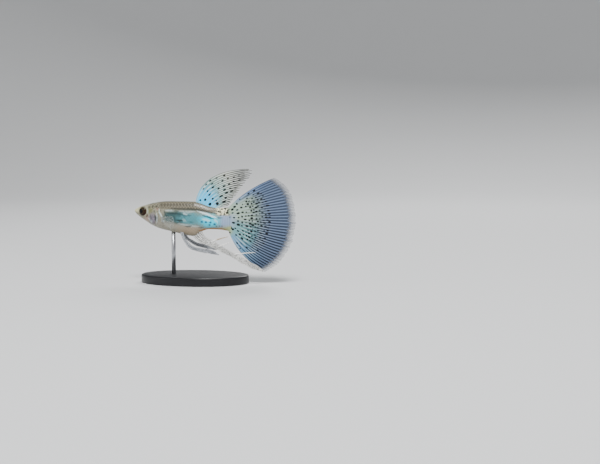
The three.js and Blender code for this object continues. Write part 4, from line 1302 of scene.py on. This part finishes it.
def build_free_ray(bm, start, over, end, radius):
    """A free ray, which leaves the ribbon as a thin flattened thread. The largest one is amber."""
    points, share, turn = closed_tube(bm, *FREE_RAY_MESH)
    t = share[:, None]
    start, over, end = (np.array(place) for place in (start, over, end))
    ahead = 2 * (1 - t) * (over - start) + 2 * t * (end - over)
    ahead = ahead / np.linalg.norm(ahead, axis=1, keepdims=True)
    reach = radius * mix(1, 0.3, share) * np.sqrt(np.maximum(0, 1 - (2 * share - 1) ** 10))
    offset = np.cross((0, 1, 0), ahead) * (reach * np.cos(turn))[:, None]
    offset[:, 1] += 0.7 * reach * np.sin(turn)
    move_to(points, bent(start, over, end, t) + offset)
    plain = np.zeros_like(share)
    amber = 0.9 * smooth(0.2, 0.45, share) * (radius > 0.25)
    marks = dict.fromkeys(("slate_lines", "mottle", "clear"), plain)
    marks.update(pale_rays=1 - amber, amber_ray=amber)
    return points, plain + 0.5 / ANAL_RAYS, plain, marks


bm = bmesh.new()
parts = [build_ribbon(bm, ANAL, ANAL_PATH, 0.0, ANAL_RAYS, *FIN_MESH["anal"])]
parts += [build_free_ray(bm, *free_ray) for free_ray in ANAL_FREE_RAYS]
points = [point for part in parts for point in part[0]]
s, r = (np.concatenate([part[i] for part in parts]) for i in (1, 2))
marks = {name: np.concatenate([part[3][name] for part in parts]) for name in parts[0][3]}
root_lobe = between(r, (0.0, 0.05), (0.06, 0.22))
dark_dashes = 0.8 * root_lobe * smooth(0.3, 0.7, np.sin(60 * s + 90 * r))
marks["mottle"] = np.maximum(marks["mottle"], dark_dashes)
finish_piece(bm, "guppy_anal_fin", anal_finish, ("anal_fin",), points, fin_marks(s, r, **marks))

# %% Build the pelvic fins
for name, side in SIDES:
    bm = bmesh.new()
    path, aside = PELVIC_PATHS[name], side * PELVIC_ASIDE
    points, s, r, marks = build_ribbon(bm, PELVIC, path, aside, PELVIC_RAYS, *FIN_MESH["pelvic"])
    node = f"pelvic_fin_{name}"
    finish_piece(bm, f"guppy_{node}", pelvic_finish, (node,), points, fin_marks(s, r, **marks))

# %% [markdown]
# ## Side fins
# The pectoral fins are small fans that hover a little off the flank. They are almost clear, so only their
# rays show.

# %% Build the side fins
PECTORAL = {"along": 8.8, "up": -2.4, "root_width": 1.3, "length": 5.0}
PECTORAL_TURN = {"outward": 22, "droop": 14, "spread": 20}  # in degrees
PECTORAL_HINGE = (0.06, 0.45)  # how far off the flank the root and the fan lie
outward = math.radians(PECTORAL_TURN["outward"])
for name, side in SIDES:
    bm = bmesh.new()
    points, s, r, face = thin_sheet(bm, *FIN_MESH["side"])
    root_aside = flank_at(PECTORAL["along"], PECTORAL["up"]) + PECTORAL_HINGE[0]
    hinge = mix(0.0, PECTORAL_HINGE[1], smooth(0, 0.15, r))
    spread = np.radians(mix(1, -1, s) * PECTORAL_TURN["spread"] - PECTORAL_TURN["droop"])
    reach = r * PECTORAL["length"] * (1 - fringe(s, PECTORAL_RAYS)) * (1 - 0.18 * (2 * s - 1) ** 2)
    back = reach * np.cos(spread)
    up = PECTORAL["up"] + mix(0.5, -0.5, s) * PECTORAL["root_width"] + reach * np.sin(spread)
    aside = side * (root_aside + hinge + back * math.sin(outward))
    middle = np.stack([PECTORAL["along"] + back * math.cos(outward), aside, up], axis=1)
    facing = np.array([-math.sin(outward), side * math.cos(outward), 0])
    thin = fin_thickness(s, r, PECTORAL_RAYS, root=0.4, membrane=0.1, rise=0.1)
    move_to(points, middle + facing * (face * thin / 2)[:, None])
    marks = fin_marks(s, r, pale_rays=np.full_like(s, 0.3), clear=smooth(0.0, 0.2, r))
    nodes = (f"pectoral_fin_{name}",)
    finish_piece(bm, f"guppy_side_fin_{name}", side_fin_finish, nodes, points, marks)

# %% [markdown]
# ## Stand
# The oval base is acrylic sheet with its rim rounded and a black satin lacquer on it, and the rod is brushed
# stainless steel. The solids' ovals show their flat facets close up, so the base is made again from a disc
# with many sides, its rim rounded by a bevel and squeezed to an oval, and the rod from a finer cylinder.

# %% Stand finishes
# Satin lacquer gives a soft, slightly cloudy reflection. The clouds are 1.4 mm, 700 to the metre.
lacquer, tree, shader = new_material("black_satin_lacquer")
place = add_node(tree, "TexCoord").outputs["Object"]
wear = add_node(tree, "TexNoise", {"Scale": 700.0, "Detail": 6.0}, {"Vector": place})
tone = add_node(tree, "Mix", {"data_type": "RGBA", 6: linear("#0e0e10"), 7: linear("#1b1c1f")}, {0: wear})
gloss = add_node(tree, "MapRange", {"To Min": 0.3, "To Max": 0.46}, {"Value": wear})
set_node(tree, shader, {"Specular IOR Level": 0.35}, {"Base Color": tone.outputs[2], "Roughness": gloss})

# Brushing along the rod stretches its highlight. The lines are 0.11 mm wide and 3.3 mm long, 9000 and 300 to
# the metre, which is coarser than the real brushing, so that it shows.
steel, tree, shader = new_material("brushed_stainless_steel")
place = add_node(tree, "TexCoord").outputs["Object"]
stretched = add_node(tree, "Mapping", {"Scale": (9000.0, 9000.0, 300.0)}, {"Vector": place})
brushing = add_node(tree, "TexNoise", {"Scale": 1.0, "Detail": 2.0}, {"Vector": stretched})
gloss = add_node(tree, "MapRange", {"To Min": 0.25, "To Max": 0.45}, {"Value": brushing})
set_node(tree, shader, {"Base Color": linear("#b4b6ba"), "Metallic": 1.0}, {"Roughness": gloss})
print("stand finishes:", lacquer.name, "and", steel.name)

# %% Build the stand
BASE = {"length": 32, "width": 20, "thick": 2.5, "bevel": 0.5}
ROD = {"along": 11.6, "radius": 0.6, "foot": 1.4, "into_belly": 0.15}  # the foot is its height in the base
bm = bmesh.new()
bmesh.ops.create_cone(bm, cap_ends=True, segments=160, radius1=0.5, radius2=0.5, depth=1.0)
bmesh.ops.translate(bm, verts=bm.verts, vec=(0, 0, 0.5))
bmesh.ops.scale(bm, verts=bm.verts, vec=np.array((BASE["length"], BASE["length"], BASE["thick"])) * MM)
rims = [edge for edge in bm.edges if edge.verts[0].co.z == edge.verts[1].co.z]
bmesh.ops.bevel(
    bm, geom=rims, offset=BASE["bevel"] * MM, affect="EDGES", segments=5, profile=0.5, material=-1
)
bmesh.ops.scale(bm, verts=bm.verts, vec=(1, BASE["width"] / BASE["length"], 1))
finish_piece(bm, "stand_oval_base", lacquer, ("stand_base",))

bm = bmesh.new()
bmesh.ops.create_cone(bm, cap_ends=True, segments=48, radius1=1.0, radius2=1.0, depth=1.0)
places = np.array([point.co for point in bm.verts]) * (ROD["radius"], ROD["radius"], 1.0)
places[:, 0] += ROD["along"]
top = belly_at(places[:, 0], places[:, 1]) + ROD["into_belly"]
places[:, 2] = np.where(places[:, 2] > 0, top, ROD["foot"] - SNOUT_HEIGHT)
move_to(list(bm.verts), places)
finish_piece(bm, "stand_steel_rod", steel, ("stand_rod",))
